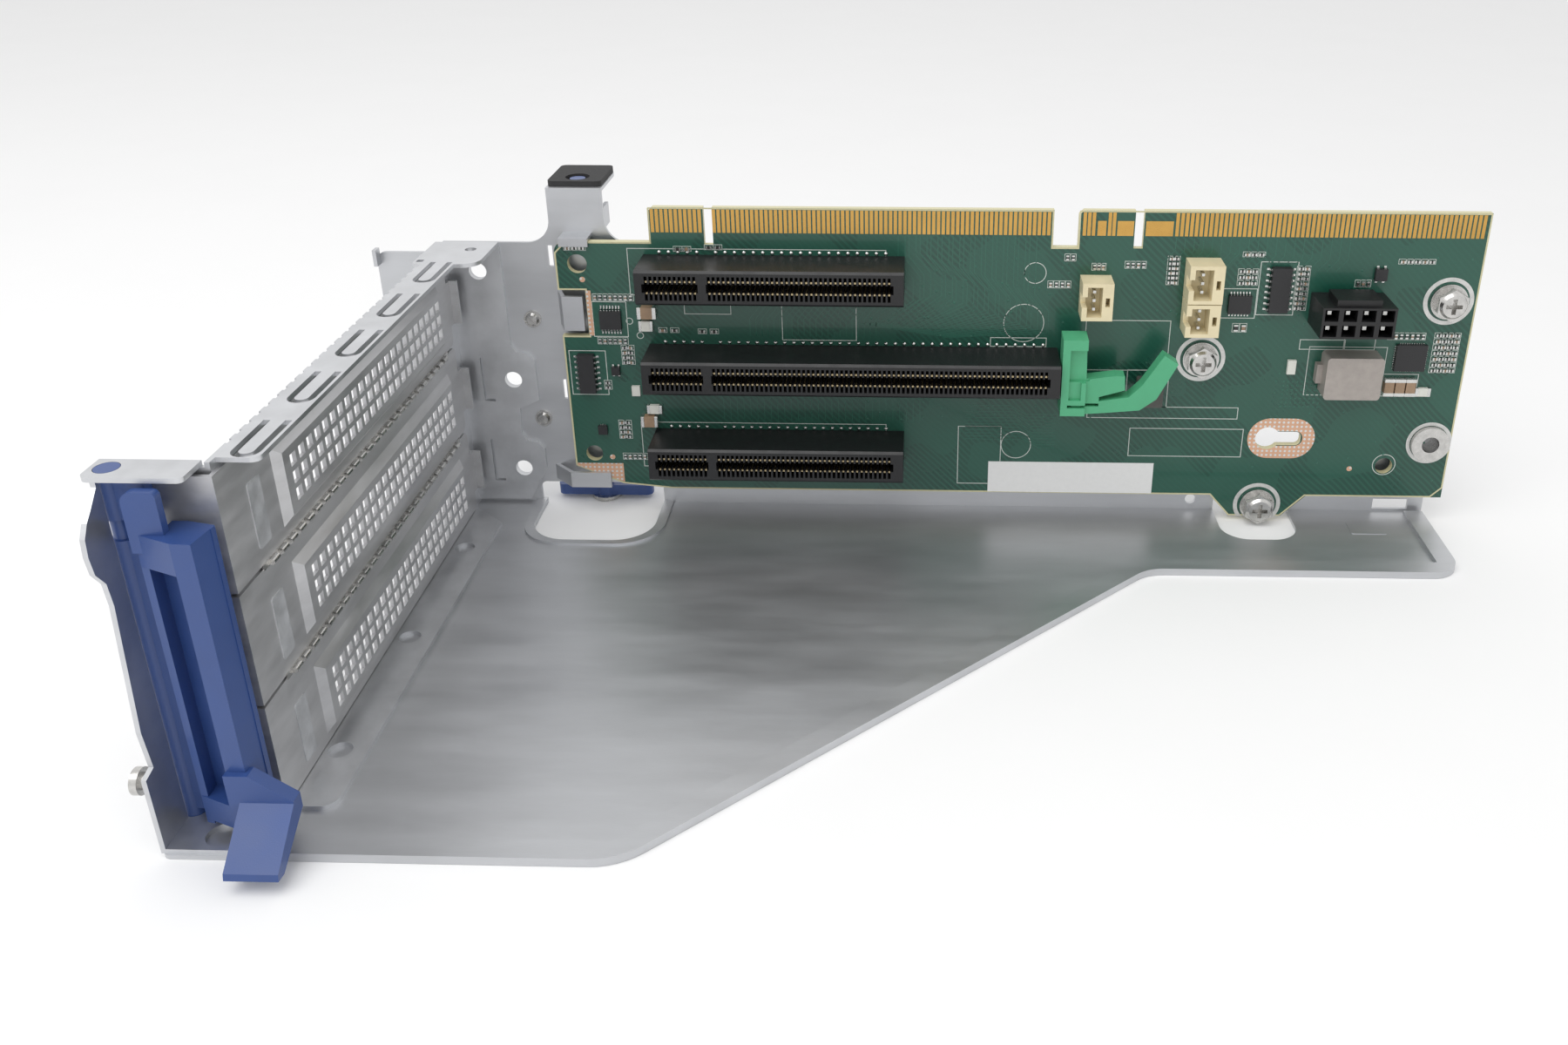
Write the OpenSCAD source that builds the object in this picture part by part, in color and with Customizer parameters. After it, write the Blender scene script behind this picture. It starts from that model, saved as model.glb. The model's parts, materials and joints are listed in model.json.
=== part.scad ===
// Riser cage bracket. A sheet steel cage carries a riser board with three card slots,
// three slot covers, a blue retainer door, a green card lock and a half-turn latch.
// Millimetres. Frame: x runs along the board with 0 at its middle, y = 0 is the card
// side of the board and +y is away from the cards, z = 0 is the underside of the plate.

/* [Sheet] */
// Thickness of the cage sheet
sheet_t = 0.8; // [0.6:0.1:1.2]
// Height of the cage over its top flanges
cage_h = 63.3; // [58:0.1:80]
// Reach of the plate in front of the board
cage_d = 114.2; // [100:0.1:140]
// Gap between board front and wall front
wall_gap = 3.6; // [3:0.1:6]
// Width of the folded hem
hem_w = 4.2; // [2:0.1:8]
// Width of the plate at the narrow end
tail_w = 24.9; // [20:0.1:40]
// Wall reach left of the slot frame
flap_l = 14.7; // [8:0.1:25]
// Hole radius of the frame joints
joint_hole_r = 1.9; // [1:0.1:2.5]

/* [Board] */
// Length of the riser board
board_l = 195.4; // [180:0.1:230]
// Height of the board below its edge tongues
board_h = 58.4; // [56:0.1:70]
// Thickness of the board
board_t = 1.57; // [1.2:0.01:2]
// Board bottom edge above the plate underside
board_z = 6.3; // [6:0.1:10]
// Height of the edge tongues
tongue_h = 7.6; // [6:0.1:9]
// Length of each edge tongue
tongue_l = 84.9; // [80:0.1:88]
// Width of the gap between the tongues
tongue_gap = 5.2; // [3:0.1:8]
// Pin one of the slots from the left board edge
pin1_in = 21.4; // [18:0.1:30]

/* [Slots] */
// Pitch of the card slots
slot_pitch = 20.32; // [20.32:0.01:24]
// Lowest slot centre above the board edge
slot_low = 11.36; // [10:0.01:16]
// Width of a slot housing
slot_w = 7.5; // [6.5:0.1:8.5]
// Depth of a slot housing
slot_d = 11.25; // [9:0.05:13]
// Pitch of the contacts
pin_pitch = 1.0; // [0.8:0.05:1.2]
// Contacts along the long slot
long_pins = 82; // [64:1:82]
// Contacts along a short slot
short_pins = 49; // [32:1:49]

/* [Slot frame] */
// Board edge to the frame face under the covers
frame_off = 24.1; // [20:0.1:32]
// Width of the top flange
flange_w = 6.4; // [5:0.1:8]
// Width of the bottom flange
foot_w = 8.3; // [6:0.1:12]
// Depth of the channel in front of the shelf
channel_d = 11.7; // [9:0.1:15]
// Width of the channel between shelf wall and side plate
channel_w = 14.2; // [12:0.1:18]
// Thickness of a slot cover
cover_t = 0.7; // [0.5:0.1:1]
// Gap between covers
cover_gap = 0.6; // [0.3:0.1:1.5]
// Rise of the pressed vent panel
panel_rise = 1.2; // [0.5:0.1:2]
// Size of a vent hole
vent_w = 2.1; // [1.5:0.1:2.4]
// Pitch of the vent holes along the cover
vent_pitch = 3.2; // [2.8:0.1:4]
// Vent columns
vent_cols = 23; // [10:1:24]
// Vent rows
vent_rows = 3; // [1:1:3]

/* [Door] */
// Radius of the hinge pin
hinge_r = 1.8; // [1.5:0.1:2.0]
// Running clearance of the hinge pin
hinge_fit = 0.08; // [0.05:0.01:0.2]
// Wall of the door pocket
door_wall = 1.5; // [1.2:0.1:2]
// Length of the finger tab
finger_l = 8; // [5:0.1:12]
// Width of the finger tab
finger_w = 8.4; // [6:0.1:12]

/* [Latch] */
// Length of the latch bar
bar_l = 22; // [16:0.5:24]
// Width of the latch bar
bar_w = 3.5; // [2.5:0.1:5]
// Thickness of the latch bar
bar_t = 2.5; // [1.5:0.1:3]
// Radius of the latch shaft
shaft_r = 1.65; // [1.2:0.05:2]
// Running clearance of the shaft
shaft_fit = 0.1; // [0.05:0.01:0.2]
// Lift of the latch
latch_lift = 2.2; // [1:0.1:2.2]
// Radius of the latch head
head_r = 3.5; // [2.5:0.1:5]
// Height of the arm above the cage
arm_h = 12; // [8:0.1:16]
// Width of the arm
arm_w = 11.8; // [9:0.1:16]

/* [Card lock] */
// Pivot pin radius of the card lock
pivot_r = 1.2; // [0.9:0.1:1.5]
// Running clearance of the pivot
pivot_fit = 0.1; // [0.05:0.01:0.2]
// Thickness of the lock arms
lock_arm_t = 3.4; // [2:0.1:4]

/* [Hidden] */
$fn = 48;
eps = 0.01;
fine = 0.05;

// board anchors
x_l = -board_l / 2;
x_r = board_l / 2;
pin_x = x_l + pin1_in;
board_top = board_z + board_h;
key_w = 1.7;
key_at = 10.7;
pin_jump = 3;
housing_lead = 2.4;
housing_tail = 3.0;
mouth_w = 1.9;
mouth_d = 8;
cavity_d = 6.25;
cavity_w = 0.6;
cavity_h = 5.2;
contact_w = 0.4;
contact_t = 0.4;
contact_gap = 2.1;

// cage anchors
wall_y = wall_gap;
wall_back = wall_gap + sheet_t;
front_y = -cage_d;
shelf_y = channel_d - cage_d;
frame_x = x_l - frame_off;
side_x = frame_x - channel_w;
wall_x0 = frame_x - sheet_t;
wall_x1 = x_r - 2.4;
plate_r = x_r - 2.7;
tail_x = x_l + 133.4;
nose_x = x_l + 38.5;
nose_y = front_y + 7.5;
tail_y = -tail_w;
floor_z = 2 * sheet_t;
hinge_x = side_x + 0.3;
hinge_y = shelf_y - 2.0;
hinge_z0 = floor_z - sheet_t + 0.1;
seam_drop = 6.44;
cover_h = slot_pitch - cover_gap;
cover_y0 = shelf_y - 1.4;
cover_y1 = -2;
panel_y0 = cover_y0 + 16.9;
panel_y1 = -8.5;
panel_h = 14;
panel_draw = 1.5;
vent_first = panel_y0 + 4.8;
vent_fit = floor((panel_y1 - 3 - vent_first) / vent_pitch) + 1;
vent_pitch_z = 3.0;
pad_t = 0.15;

// latch anchors
latch_x = x_l + 4.4;
latch_y = wall_back + 4;
head_t = 0.8;
head_z = 0.1;
bar_z = head_z + head_t;
arm_z = cage_h + arm_h;
washer_z = 63.6;
washer_t = 0.8;
clip_t = 0.6;
groove_r = 1.25;
pad_thick = 1.2;
shaft_top = arm_z + pad_thick - 0.3;
shaft_hole_r = shaft_r + shaft_fit;
spring_r = 2.35;
spring_wire = 0.3;
spring_turns = 4;

// card lock anchors
lock_slot_z = board_z + slot_low + slot_pitch;
lock_x = pin_x + (long_pins - 1 + pin_jump - 1) * pin_pitch + housing_tail + 0.35;
pivot_x = lock_x + 3.4;
pivot_z = lock_slot_z - 5.6;
lock_front = -10;

cage_shell();
slot_frame();
cover_top();
cover_middle();
cover_bottom();
cover_pads();
emi_strips();
press_studs();
side_stud();
arm_pad();
standoffs();
riser_board();
edge_contacts();
board_pads();
copper_pads();
slot_top();
slot_middle();
slot_bottom();
contacts_top();
contacts_middle();
contacts_bottom();
fan_headers();
header_pins();
power_socket();
power_pins();
board_chips();
power_inductor();
small_inductor();
board_caps();
board_fuses();
board_screws();
insert_nut();
board_label();
lock_base();
card_lock();
retainer_door();
latch_handle();
latch_head();
latch_washer();
latch_clip();
latch_spring();

// ---- helpers: a flat outline made thick in each of the three directions ----

// outline in x and y, thick in z from z0
module xy(z0, t) {
    translate([0, 0, z0]) linear_extrude(height = t) children();
}

// outline in x and z, thick in y from y0
module xz(y0, t) {
    translate([0, y0 + t, 0]) rotate([90, 0, 0]) linear_extrude(height = t) children();
}

// outline in y and z, thick in x from x0
module yz(x0, t) {
    translate([x0, 0, 0]) rotate([90, 0, 90]) linear_extrude(height = t) children();
}

module box(a, b) {
    translate(a) cube(b - a);
}

module rect(x0, y0, x1, y1) {
    translate([x0, y0]) square([x1 - x0, y1 - y0]);
}

// rectangle with all four corners round
module rrect(x0, y0, x1, y1, r) {
    rect(x0 + r, y0, x1 - r, y1);
    rect(x0, y0 + r, x1, y1 - r);
    for (x = [x0 + r, x1 - r]) {
        for (y = [y0 + r, y1 - r]) {
            translate([x, y]) circle(r = r);
        }
    }
}

function unit(v) = v / norm(v);
function left_of(a, b) = [-(b - a)[1], (b - a)[0]] / norm(b - a);
function inset(a, p, b, w) =
    p + (left_of(a, p) + left_of(p, b)) * w / (1 + left_of(a, p) * left_of(p, b));

// what rounding the corner p between a and b with radius r takes away or fills
module corner(a, p, b, r) {
    u = unit(a - p);
    v = unit(b - p);
    half = acos(u * v) / 2;
    t = r / tan(half);
    m = unit(u + v);
    c = p + m * r / sin(half);
    difference() {
        polygon([p - m * fine, p + u * t, c, p + v * t]);
        translate(c) circle(r = r);
    }
}

function slot_z(i) = board_z + slot_low + i * slot_pitch;
function cover_z(i) = slot_z(i) - seam_drop;
function pin_at(n) = pin_x + (n <= 11 ? n - 1 : n + pin_jump - 2) * pin_pitch;

// ---- cage ----

plate_a = [side_x - sheet_t, front_y];
plate_b = [nose_x - 6.2, front_y];
plate_c = [tail_x - 6.9, tail_y];
plate_d = [plate_r, tail_y];
plate_e = [plate_r, wall_back];
plate_f = [wall_x0, wall_back];
plate_g = [wall_x0, shelf_y + 1.5];
plate_h = [side_x - sheet_t, shelf_y + 1.5];

module plate_outline() {
    difference() {
        union() {
            polygon([plate_a, plate_b, plate_c, plate_d, plate_e, plate_f, plate_g, plate_h]);
            corner(plate_b, plate_c, plate_d, 9);
        }
        corner(plate_a, plate_b, plate_c, 12);
        corner(plate_c, plate_d, plate_e, 6);
        corner(plate_h, plate_a, plate_b, 1.5);
    }
}

latch_cut_x0 = latch_x - 13;
latch_cut_x1 = latch_x + 14.4;
latch_cut_y = -15.4;
lobe_x = x_l + 154.4;
lobe_cut_y = -10.5;
lobe_cut_r = 6;

// the two openings that let the latch bar and the board lobe through
module plate_openings() {
    rrect(latch_cut_x0, latch_cut_y, latch_cut_x1, wall_back + 10, 8.5);
    rrect(lobe_x - 9, lobe_cut_y, lobe_x + 8, wall_gap + 10, lobe_cut_r);
}

module hem_outline() {
    hem_x = frame_x + 4.7;
    difference() {
        plate_outline();
        polygon([
            [plate_a[0] - 5, front_y - 5],
            [hem_x, front_y - 5],
            [hem_x, front_y + hem_w],
            inset(plate_a, plate_b, plate_c, hem_w),
            inset(plate_b, plate_c, plate_d, hem_w),
            inset(plate_c, plate_d, plate_e, hem_w),
            [plate_r - hem_w, wall_back + 5],
            [plate_a[0] - 5, wall_back + 5]
        ]);
        rect(plate_r - 10, wall_y - 1.4, plate_r + 10, wall_back + 5);
    }
}

wall_fillet = 5.1;
key_hole_x = x_l + 155;
key_hole_z = board_z + 14.3;

module wall_outline() {
    arm0 = latch_x - arm_w / 2;
    arm1 = latch_x + arm_w / 2;
    difference() {
        union() {
            rect(wall_x0, 0, wall_x1, cage_h);
            rect(wall_x0 - flap_l, cage_h - 32, wall_x0 + 5, cage_h - 2.4);
            rect(arm0, cage_h - 5, arm1, arm_z);
            corner([arm0, arm_z], [arm0, cage_h], [arm0 - 20, cage_h], wall_fillet);
            corner([arm1, arm_z], [arm1, cage_h], [arm1 + 20, cage_h], wall_fillet);
        }
        // latch opening, board openings and slots
        rrect(latch_x - 14, -6, latch_x + 14, board_z - 0.5, 1.5);
        rrect(key_hole_x - 9, key_hole_z - 5.2, key_hole_x + 9, key_hole_z + 5.2, 4);
        rect(x_l - 2.4, cage_h - 5.3, x_l - 1.3, cage_h - 0.6);
        rect(x_l - 2.1, board_z + 20.5, x_l - 1.3, board_z + 25.2);
        rect(x_r - 13.7, sheet_t + 0.6, x_r - 5.7, sheet_t + 3.1);
        translate([x_r - 55.3, 3.3]) circle(r = 1.2);
        joint_holes();
        corner([wall_x1, 0], [wall_x1, cage_h], [0, cage_h], 3);
        corner([wall_x0, cage_h - 2.4], [wall_x0 - flap_l, cage_h - 2.4],
            [wall_x0 - flap_l, 0], 2);
        corner([wall_x0, cage_h - 32], [wall_x0 - flap_l, cage_h - 32],
            [wall_x0 - flap_l, cage_h], 2);
    }
}

// through holes shared by the wall and the frame flange
module joint_holes() {
    translate([frame_x + 6.3, cage_h - 6.3]) circle(r = joint_hole_r);
    translate([frame_x + 11.2, board_z + 25.3]) circle(r = joint_hole_r);
    translate([frame_x + 11.2, board_z + 3.3]) circle(r = joint_hole_r);
}

tab_y1 = wall_gap + 14.9;
lip_t = 0.8;

module cage_shell() {
    arm0 = latch_x - arm_w / 2;
    arm1 = latch_x + arm_w / 2;
    color([0.62, 0.64, 0.66]) {
        difference() {
            union() {
                xy(0, sheet_t) plate_outline();
                xy(sheet_t - eps, sheet_t + eps) hem_outline();
                xz(wall_y, sheet_t) wall_outline();
                // rolled rim around the latch opening
                xy(sheet_t - eps, 0.5 + eps) rrect(latch_cut_x0 - 2.2, latch_cut_y - 1.6,
                    latch_cut_x1 + 2.2, wall_gap + 10, 10);
                xy(sheet_t - eps, 0.15 + eps) rrect(x_r - 21.2, -7.5, x_r - 13.3, -2, 0.6);
            }
            xy(-1, 6) plate_openings();
            // everything of the rim behind the wall goes again
            box([latch_cut_x0 - 9, wall_back, sheet_t], [latch_cut_x1 + 9, 40, 3]);
            box([latch_cut_x0 - 9, wall_back, -1], [latch_cut_x1 + 9, 40, 3]);
        }
        // top tab of the arm, bent back over the latch
        xy(arm_z - sheet_t, sheet_t) difference() {
            rect(arm0, wall_y, arm1, tab_y1);
            translate([latch_x, latch_y]) circle(r = shaft_hole_r);
            corner([arm0, wall_y], [arm0, tab_y1], [arm1, tab_y1], 2);
            corner([arm1, wall_y], [arm1, tab_y1], [arm0, tab_y1], 2);
        }
        // stiffening lug on the right of the arm
        yz(arm1 - sheet_t, sheet_t) rect(wall_back - eps, arm_z - 9, wall_back + 5, arm_z - 4.5);
        // lower guide lug for the latch shaft
        xy(board_z + 6, sheet_t) difference() {
            rect(latch_x - 4, wall_back - eps, latch_x + 4, latch_y + 3.2);
            translate([latch_x, latch_y]) circle(r = shaft_hole_r);
        }
        // hook over the top edge of the board
        box([x_l + 1.3, -lip_t - 0.1, board_top + 0.1], [x_l + 7.5, wall_y + eps, board_top + 0.9]);
        box([x_l + 1.3, -lip_t - 0.1, board_top - 0.9], [x_l + 7.5, -0.1, board_top + 0.9]);
        // tab through the left notch of the board
        xy(board_z + 38.4, 7.8) polygon([[x_l - 3.3, wall_back - fine], [x_l - 0.5, wall_back - fine],
            [x_l + 1.3, 0.3], [x_l + 5.2, 0.3], [x_l + 5.2, -0.5], [x_l + 0.7, -0.5],
            [x_l - 1.1, wall_y + fine], [x_l - 3.3, wall_y + fine]]);
        // clip around the lower left corner of the board
        xy(board_z + 0.4, 3.7) polygon([[x_l - 8.5, wall_back - fine], [x_l - 5.4, wall_back - fine],
            [x_l - 0.8, -0.1], [x_l + 7.9, -0.1], [x_l + 7.9, -0.1 - lip_t],
            [x_l - 1.2, -0.1 - lip_t], [x_l - 5.8, wall_y + fine], [x_l - 8.5, wall_y + fine]]);
        // hook on the flap behind the slot frame
        box([wall_x0 - flap_l, wall_y - 2.2, cage_h - 5], [wall_x0 - flap_l + sheet_t, wall_y + eps,
            cage_h - 1.4]);
    }
}

// ---- slot frame ----

u_first = shelf_y + 4.1;
u_pitch = (-20.8 - u_first) / 4;
u_len = 10.6;
u_slit = 1.1;

// one U-shaped slit of the top flange, open towards the board
module u_slit_outline(y0) {
    ux = frame_x + 3.6;
    uw = 1.7;
    difference() {
        union() {
            translate([ux, y0]) circle(r = uw + u_slit / 2);
            rect(ux - uw - u_slit / 2, y0, ux + uw + u_slit / 2, y0 + u_len);
        }
        translate([ux, y0]) circle(r = uw - u_slit / 2);
        rect(ux - uw + u_slit / 2, y0, ux + uw - u_slit / 2, y0 + u_len + 1);
    }
}

module top_flange_outline() {
    fx = wall_x0;
    difference() {
        union() {
            rect(fx, shelf_y + 1.7, frame_x + flange_w, wall_y);
            rect(fx - 1.5, -11.5, frame_x + 11.2, wall_y);
        }
        for (i = [0 : 4]) {
            u_slit_outline(u_first + i * u_pitch);
        }
        translate([frame_x + 6.9, -1.5]) circle(r = 1.2);
        corner([frame_x + flange_w, 0], [frame_x + flange_w, shelf_y + 1.7], [fx, shelf_y + 1.7], 1.5);
        corner([fx - 1.5, 0], [fx - 1.5, -11.5], [fx, -11.5], 1.2);
        corner([frame_x, -11.5], [frame_x + 11.2, -11.5], [frame_x + 11.2, 0], 3.5);
    }
}

foot_y0 = shelf_y - 0.9;
foot_y1 = -8.6;
foot_hole_y0 = shelf_y + 13.4;
foot_hole_pitch = (-20.1 - foot_hole_y0) / 2;

module bottom_flange_outline() {
    a = [wall_x0, foot_y0];
    b = [frame_x + foot_w, foot_y0];
    c = [frame_x + foot_w, foot_y1];
    d = [wall_x0, foot_y1 + 8.3];
    difference() {
        polygon([a, b, c, d]);
        corner(a, b, c, 3);
        for (k = [0 : 2]) {
            translate([frame_x + 3.5, foot_hole_y0 + k * foot_hole_pitch]) circle(r = 2.1);
        }
    }
}

module back_flange_outline() {
    fx = frame_x;
    bz = board_z;
    difference() {
        polygon([
            [wall_x0, floor_z], [fx + 12, floor_z], [fx + 16.4, bz + 3.2], [fx + 16.4, bz + 8.2],
            [fx + 14.9, bz + 9.9], [fx + 12.6, bz + 10.2], [fx + 11.6, bz + 12.2],
            [fx + 11.9, bz + 18.2], [fx + 16.4, bz + 20.4], [fx + 16.4, bz + 30],
            [fx + 14.9, bz + 31.6], [fx + 12.6, bz + 31.8], [fx + 11.5, bz + 33.5],
            [fx + 11.5, cage_h - sheet_t + eps], [wall_x0, cage_h - sheet_t + eps]
        ]);
        joint_holes();
        // lanced L slits beside the cover ends
        for (z = [board_z + 20, board_z]) {
            rect(fx + 4.2, z, fx + 4.8, z + 10.5);
            rect(fx + 4.2, z, fx + 6.6, z + 0.6);
        }
    }
}

// side plate profile seen from the left
module side_outline() {
    d = front_y;
    difference() {
        polygon([
            [shelf_y - 4.1, floor_z - sheet_t], [d + 0.4, floor_z - sheet_t], [d + 0.3, board_z + 8.6],
            [d + 2.8, board_z + 9.2], [d + 2.1, board_z + 16.1], [d + 3.9, cage_h - 19.5],
            [d + 3.5, cage_h - 15.6], [d + 1.7, cage_h - 13.1], [d + 1.3, cage_h - 10],
            [d + 1.6, cage_h - 7.3], [d + 2.9, cage_h - 5.4], [d + 4.4, cage_h - 4.1],
            [d + 6.8, cage_h - 1.7], [d + 6.8, cage_h - sheet_t + eps],
            [shelf_y - 4.1, cage_h - sheet_t + eps]
        ]);
        corner([d, 0], [d + 0.4, floor_z - sheet_t], [d + 0.3, 20], 0.8);
    }
}

module slot_frame() {
    fx = frame_x;
    color([0.68, 0.70, 0.72]) {
        difference() {
            union() {
                yz(wall_x0, sheet_t) rect(shelf_y, sheet_t, wall_y, cage_h);
                xy(cage_h - sheet_t, sheet_t) top_flange_outline();
                xy(sheet_t, sheet_t) bottom_flange_outline();
                xz(wall_y - sheet_t, sheet_t) back_flange_outline();
                // shelf, floor, side plate and top tab of the channel
                xz(shelf_y, sheet_t) rect(side_x - sheet_t, sheet_t, fx, cage_h - sheet_t + eps);
                xy(sheet_t, sheet_t) difference() {
                    rect(side_x - sheet_t, front_y + 0.4, fx + 2.5, shelf_y + sheet_t);
                    corner([fx, front_y + 0.4], [fx + 2.5, front_y + 0.4], [fx + 2.5, 0], 2);
                }
                yz(side_x - sheet_t, sheet_t) side_outline();
                xy(cage_h - sheet_t, sheet_t) difference() {
                    rect(side_x - 2.3, shelf_y - 5.2, side_x + 12.7, shelf_y + sheet_t);
                    corner([side_x, shelf_y - 5.2], [side_x - 2.3, shelf_y - 5.2],
                        [side_x - 2.3, shelf_y], 1.4);
                    corner([side_x, shelf_y - 5.2], [side_x + 12.7, shelf_y - 5.2],
                        [side_x + 12.7, shelf_y], 1);
                }
            }
            // windows behind the covers
            for (i = [0 : 2]) {
                zc = cover_z(i);
                box([fx - 3, shelf_y + 4.5, max(zc - 8.4, floor_z + 1)], [fx + 1, -8, zc + 8.4]);
            }
            // small cuts along the upper outer bend
            for (k = [0 : 26]) {
                box([wall_x0 - 1, emi_y0 - 2 + k * emi_pitch, cage_h - 0.5],
                    [wall_x0 + 0.4, emi_y0 - 0.6 + k * emi_pitch, cage_h + 1]);
            }
            // hinge holes, floor hole and the dark slot of the shelf
            for (z = [sheet_t, cage_h - sheet_t]) {
                translate([hinge_x, hinge_y, z - 0.3]) cylinder(r = hinge_r + hinge_fit, h = sheet_t + 0.6);
            }
            translate([side_x + 7.4, shelf_y - 7.8, -1]) cylinder(r = 2.6, h = 5);
            box([side_x - sheet_t - 1, shelf_y - 0.1, floor_z], [side_x + 3.2, shelf_y + 2, floor_z + 1.9]);
        }
    }
}

// ---- covers ----

// raised vent panel with slanted sides, grown by g: two extruded outlines that cross
module panel_block(i, g, x0, x1) {
    zc = cover_z(i) - 0.9;
    y0 = panel_y0 - g;
    y1 = panel_y1 + g;
    z0 = zc - panel_h / 2 - g;
    z1 = zc + panel_h / 2 + g;
    d = panel_draw;
    intersection() {
        xy(z0, z1 - z0) polygon([[x0, y0], [x1, y0 + d], [x1, y1 - d], [x0, y1]]);
        xz(y0, y1 - y0) polygon([[x0, z0], [x1, z0 + d], [x1, z1 - d], [x0, z1]]);
    }
}

module slot_cover(i) {
    z0 = max(cover_z(i) - cover_h / 2, floor_z + 0.15);
    z1 = cover_z(i) + cover_h / 2;
    rise = panel_rise;
    difference() {
        union() {
            yz(frame_x, cover_t) difference() {
                rect(cover_y0, z0, cover_y1, z1);
                corner([cover_y1, z0], [cover_y1, z1], [0 - 50, z1], 1.5);
                corner([cover_y1, z1], [cover_y1, z0], [0 - 50, z0], 1.5);
            }
            // end bent out over the shelf
            xz(cover_y0, cover_t) difference() {
                rect(side_x + 4.6, z0, frame_x + cover_t, z1);
                corner([frame_x, z1], [side_x + 4.6, z1], [side_x + 4.6, z0], 2);
                corner([frame_x, z0], [side_x + 4.6, z0], [side_x + 4.6, z1], 2);
            }
            panel_block(i, 0, frame_x + cover_t - eps, frame_x + cover_t + rise);
            // lip at the far end
            box([frame_x, cover_y1 - eps, z0 + 4], [frame_x + cover_t, cover_y1 + 2.6, z1 - 6]);
            box([frame_x, cover_y1 + 1.9, z0 + 4], [frame_x + 2.3, cover_y1 + 2.6, z1 - 6]);
        }
        // the panel is drawn out of the sheet, so it is hollow from behind
        panel_block(i, -0.1, frame_x - eps, frame_x + rise);
        vents(i);
    }
}

module vents(i) {
    for (c = [0 : min(vent_cols, vent_fit) - 1]) {
        for (r = [0 : vent_rows - 1]) {
            y = vent_first + c * vent_pitch;
            z = cover_z(i) + 2.1 - r * vent_pitch_z;
            box([frame_x - 1, y - vent_w / 2, z - vent_w / 2], [frame_x + 4, y + vent_w / 2, z + vent_w / 2]);
        }
    }
}

module cover_top() {
    color([0.60, 0.61, 0.63]) slot_cover(2);
}

module cover_middle() {
    color([0.60, 0.61, 0.63]) slot_cover(1);
}

module cover_bottom() {
    color([0.60, 0.61, 0.63]) slot_cover(0);
}

// coined pads on the covers
module cover_pads() {
    color([0.72, 0.72, 0.72]) for (i = [0 : 2]) {
        yz(frame_x + cover_t, pad_t) rrect(cover_y0 + 8.4, cover_z(i) - 7.2, cover_y0 + 12.4, cover_z(i) + 4.2, 0.6);
    }
}

emi_count = 26;
emi_y0 = shelf_y + 8.5;
emi_y1 = -11.5;
emi_pitch = (emi_y1 - emi_y0) / (emi_count - 1);

// spring fingers that close the seams between the covers
module emi_strips() {
    color([0.75, 0.76, 0.78]) for (i = [0 : 1]) {
        z = cover_z(i) + slot_pitch / 2;
        for (k = [0 : emi_count - 1]) {
            translate([frame_x + cover_t + 0.6, emi_y0 + k * emi_pitch, z]) rotate([-90, 0, 0])
                cylinder(r = 0.55, h = 2.1, $fn = 16);
        }
        box([frame_x + cover_t, emi_y0 - 2, z - 0.5], [frame_x + cover_t + 0.25, emi_y1 + 4.5, z + 0.5]);
    }
}

module press_studs() {
    color([0.70, 0.71, 0.73]) for (z = [board_z + 39.6, board_z + 15.7]) {
        translate([x_l - 7.2, wall_y, z]) rotate([90, 0, 0]) cylinder(r = 1.9, h = 0.5);
        translate([x_l - 7.2, wall_y - 0.5 + eps, z]) rotate([90, 0, 0]) cylinder(r1 = 1.5, r2 = 1.1, h = 0.6);
    }
}

module side_stud() {
    color([0.75, 0.76, 0.78]) translate([side_x - sheet_t, front_y + 2.9, board_z + 6.5]) rotate([0, -90, 0]) {
        cylinder(r = 1.4, h = 1.4);
        translate([0, 0, 1.4 - eps]) cylinder(r = 2.2, h = 1.2);
    }
}

module arm_pad() {
    color([0.16, 0.16, 0.17]) xy(arm_z, pad_thick) difference() {
        rrect(latch_x - arm_w / 2 + 0.2, wall_y + 0.9, latch_x + arm_w / 2 - 0.2, tab_y1 - 0.2, 1.2);
        translate([latch_x, latch_y]) circle(r = shaft_hole_r + 0.8);
    }
}

// ---- board ----

screw_1 = [x_r - 6, board_z + 46.8];
screw_2 = [x_l + 154.4, board_z - 2.2];
screw_3 = [x_l + 138.5, board_z + 33.2];
nut_at = [x_r - 4.8, board_z + 13.6];

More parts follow.
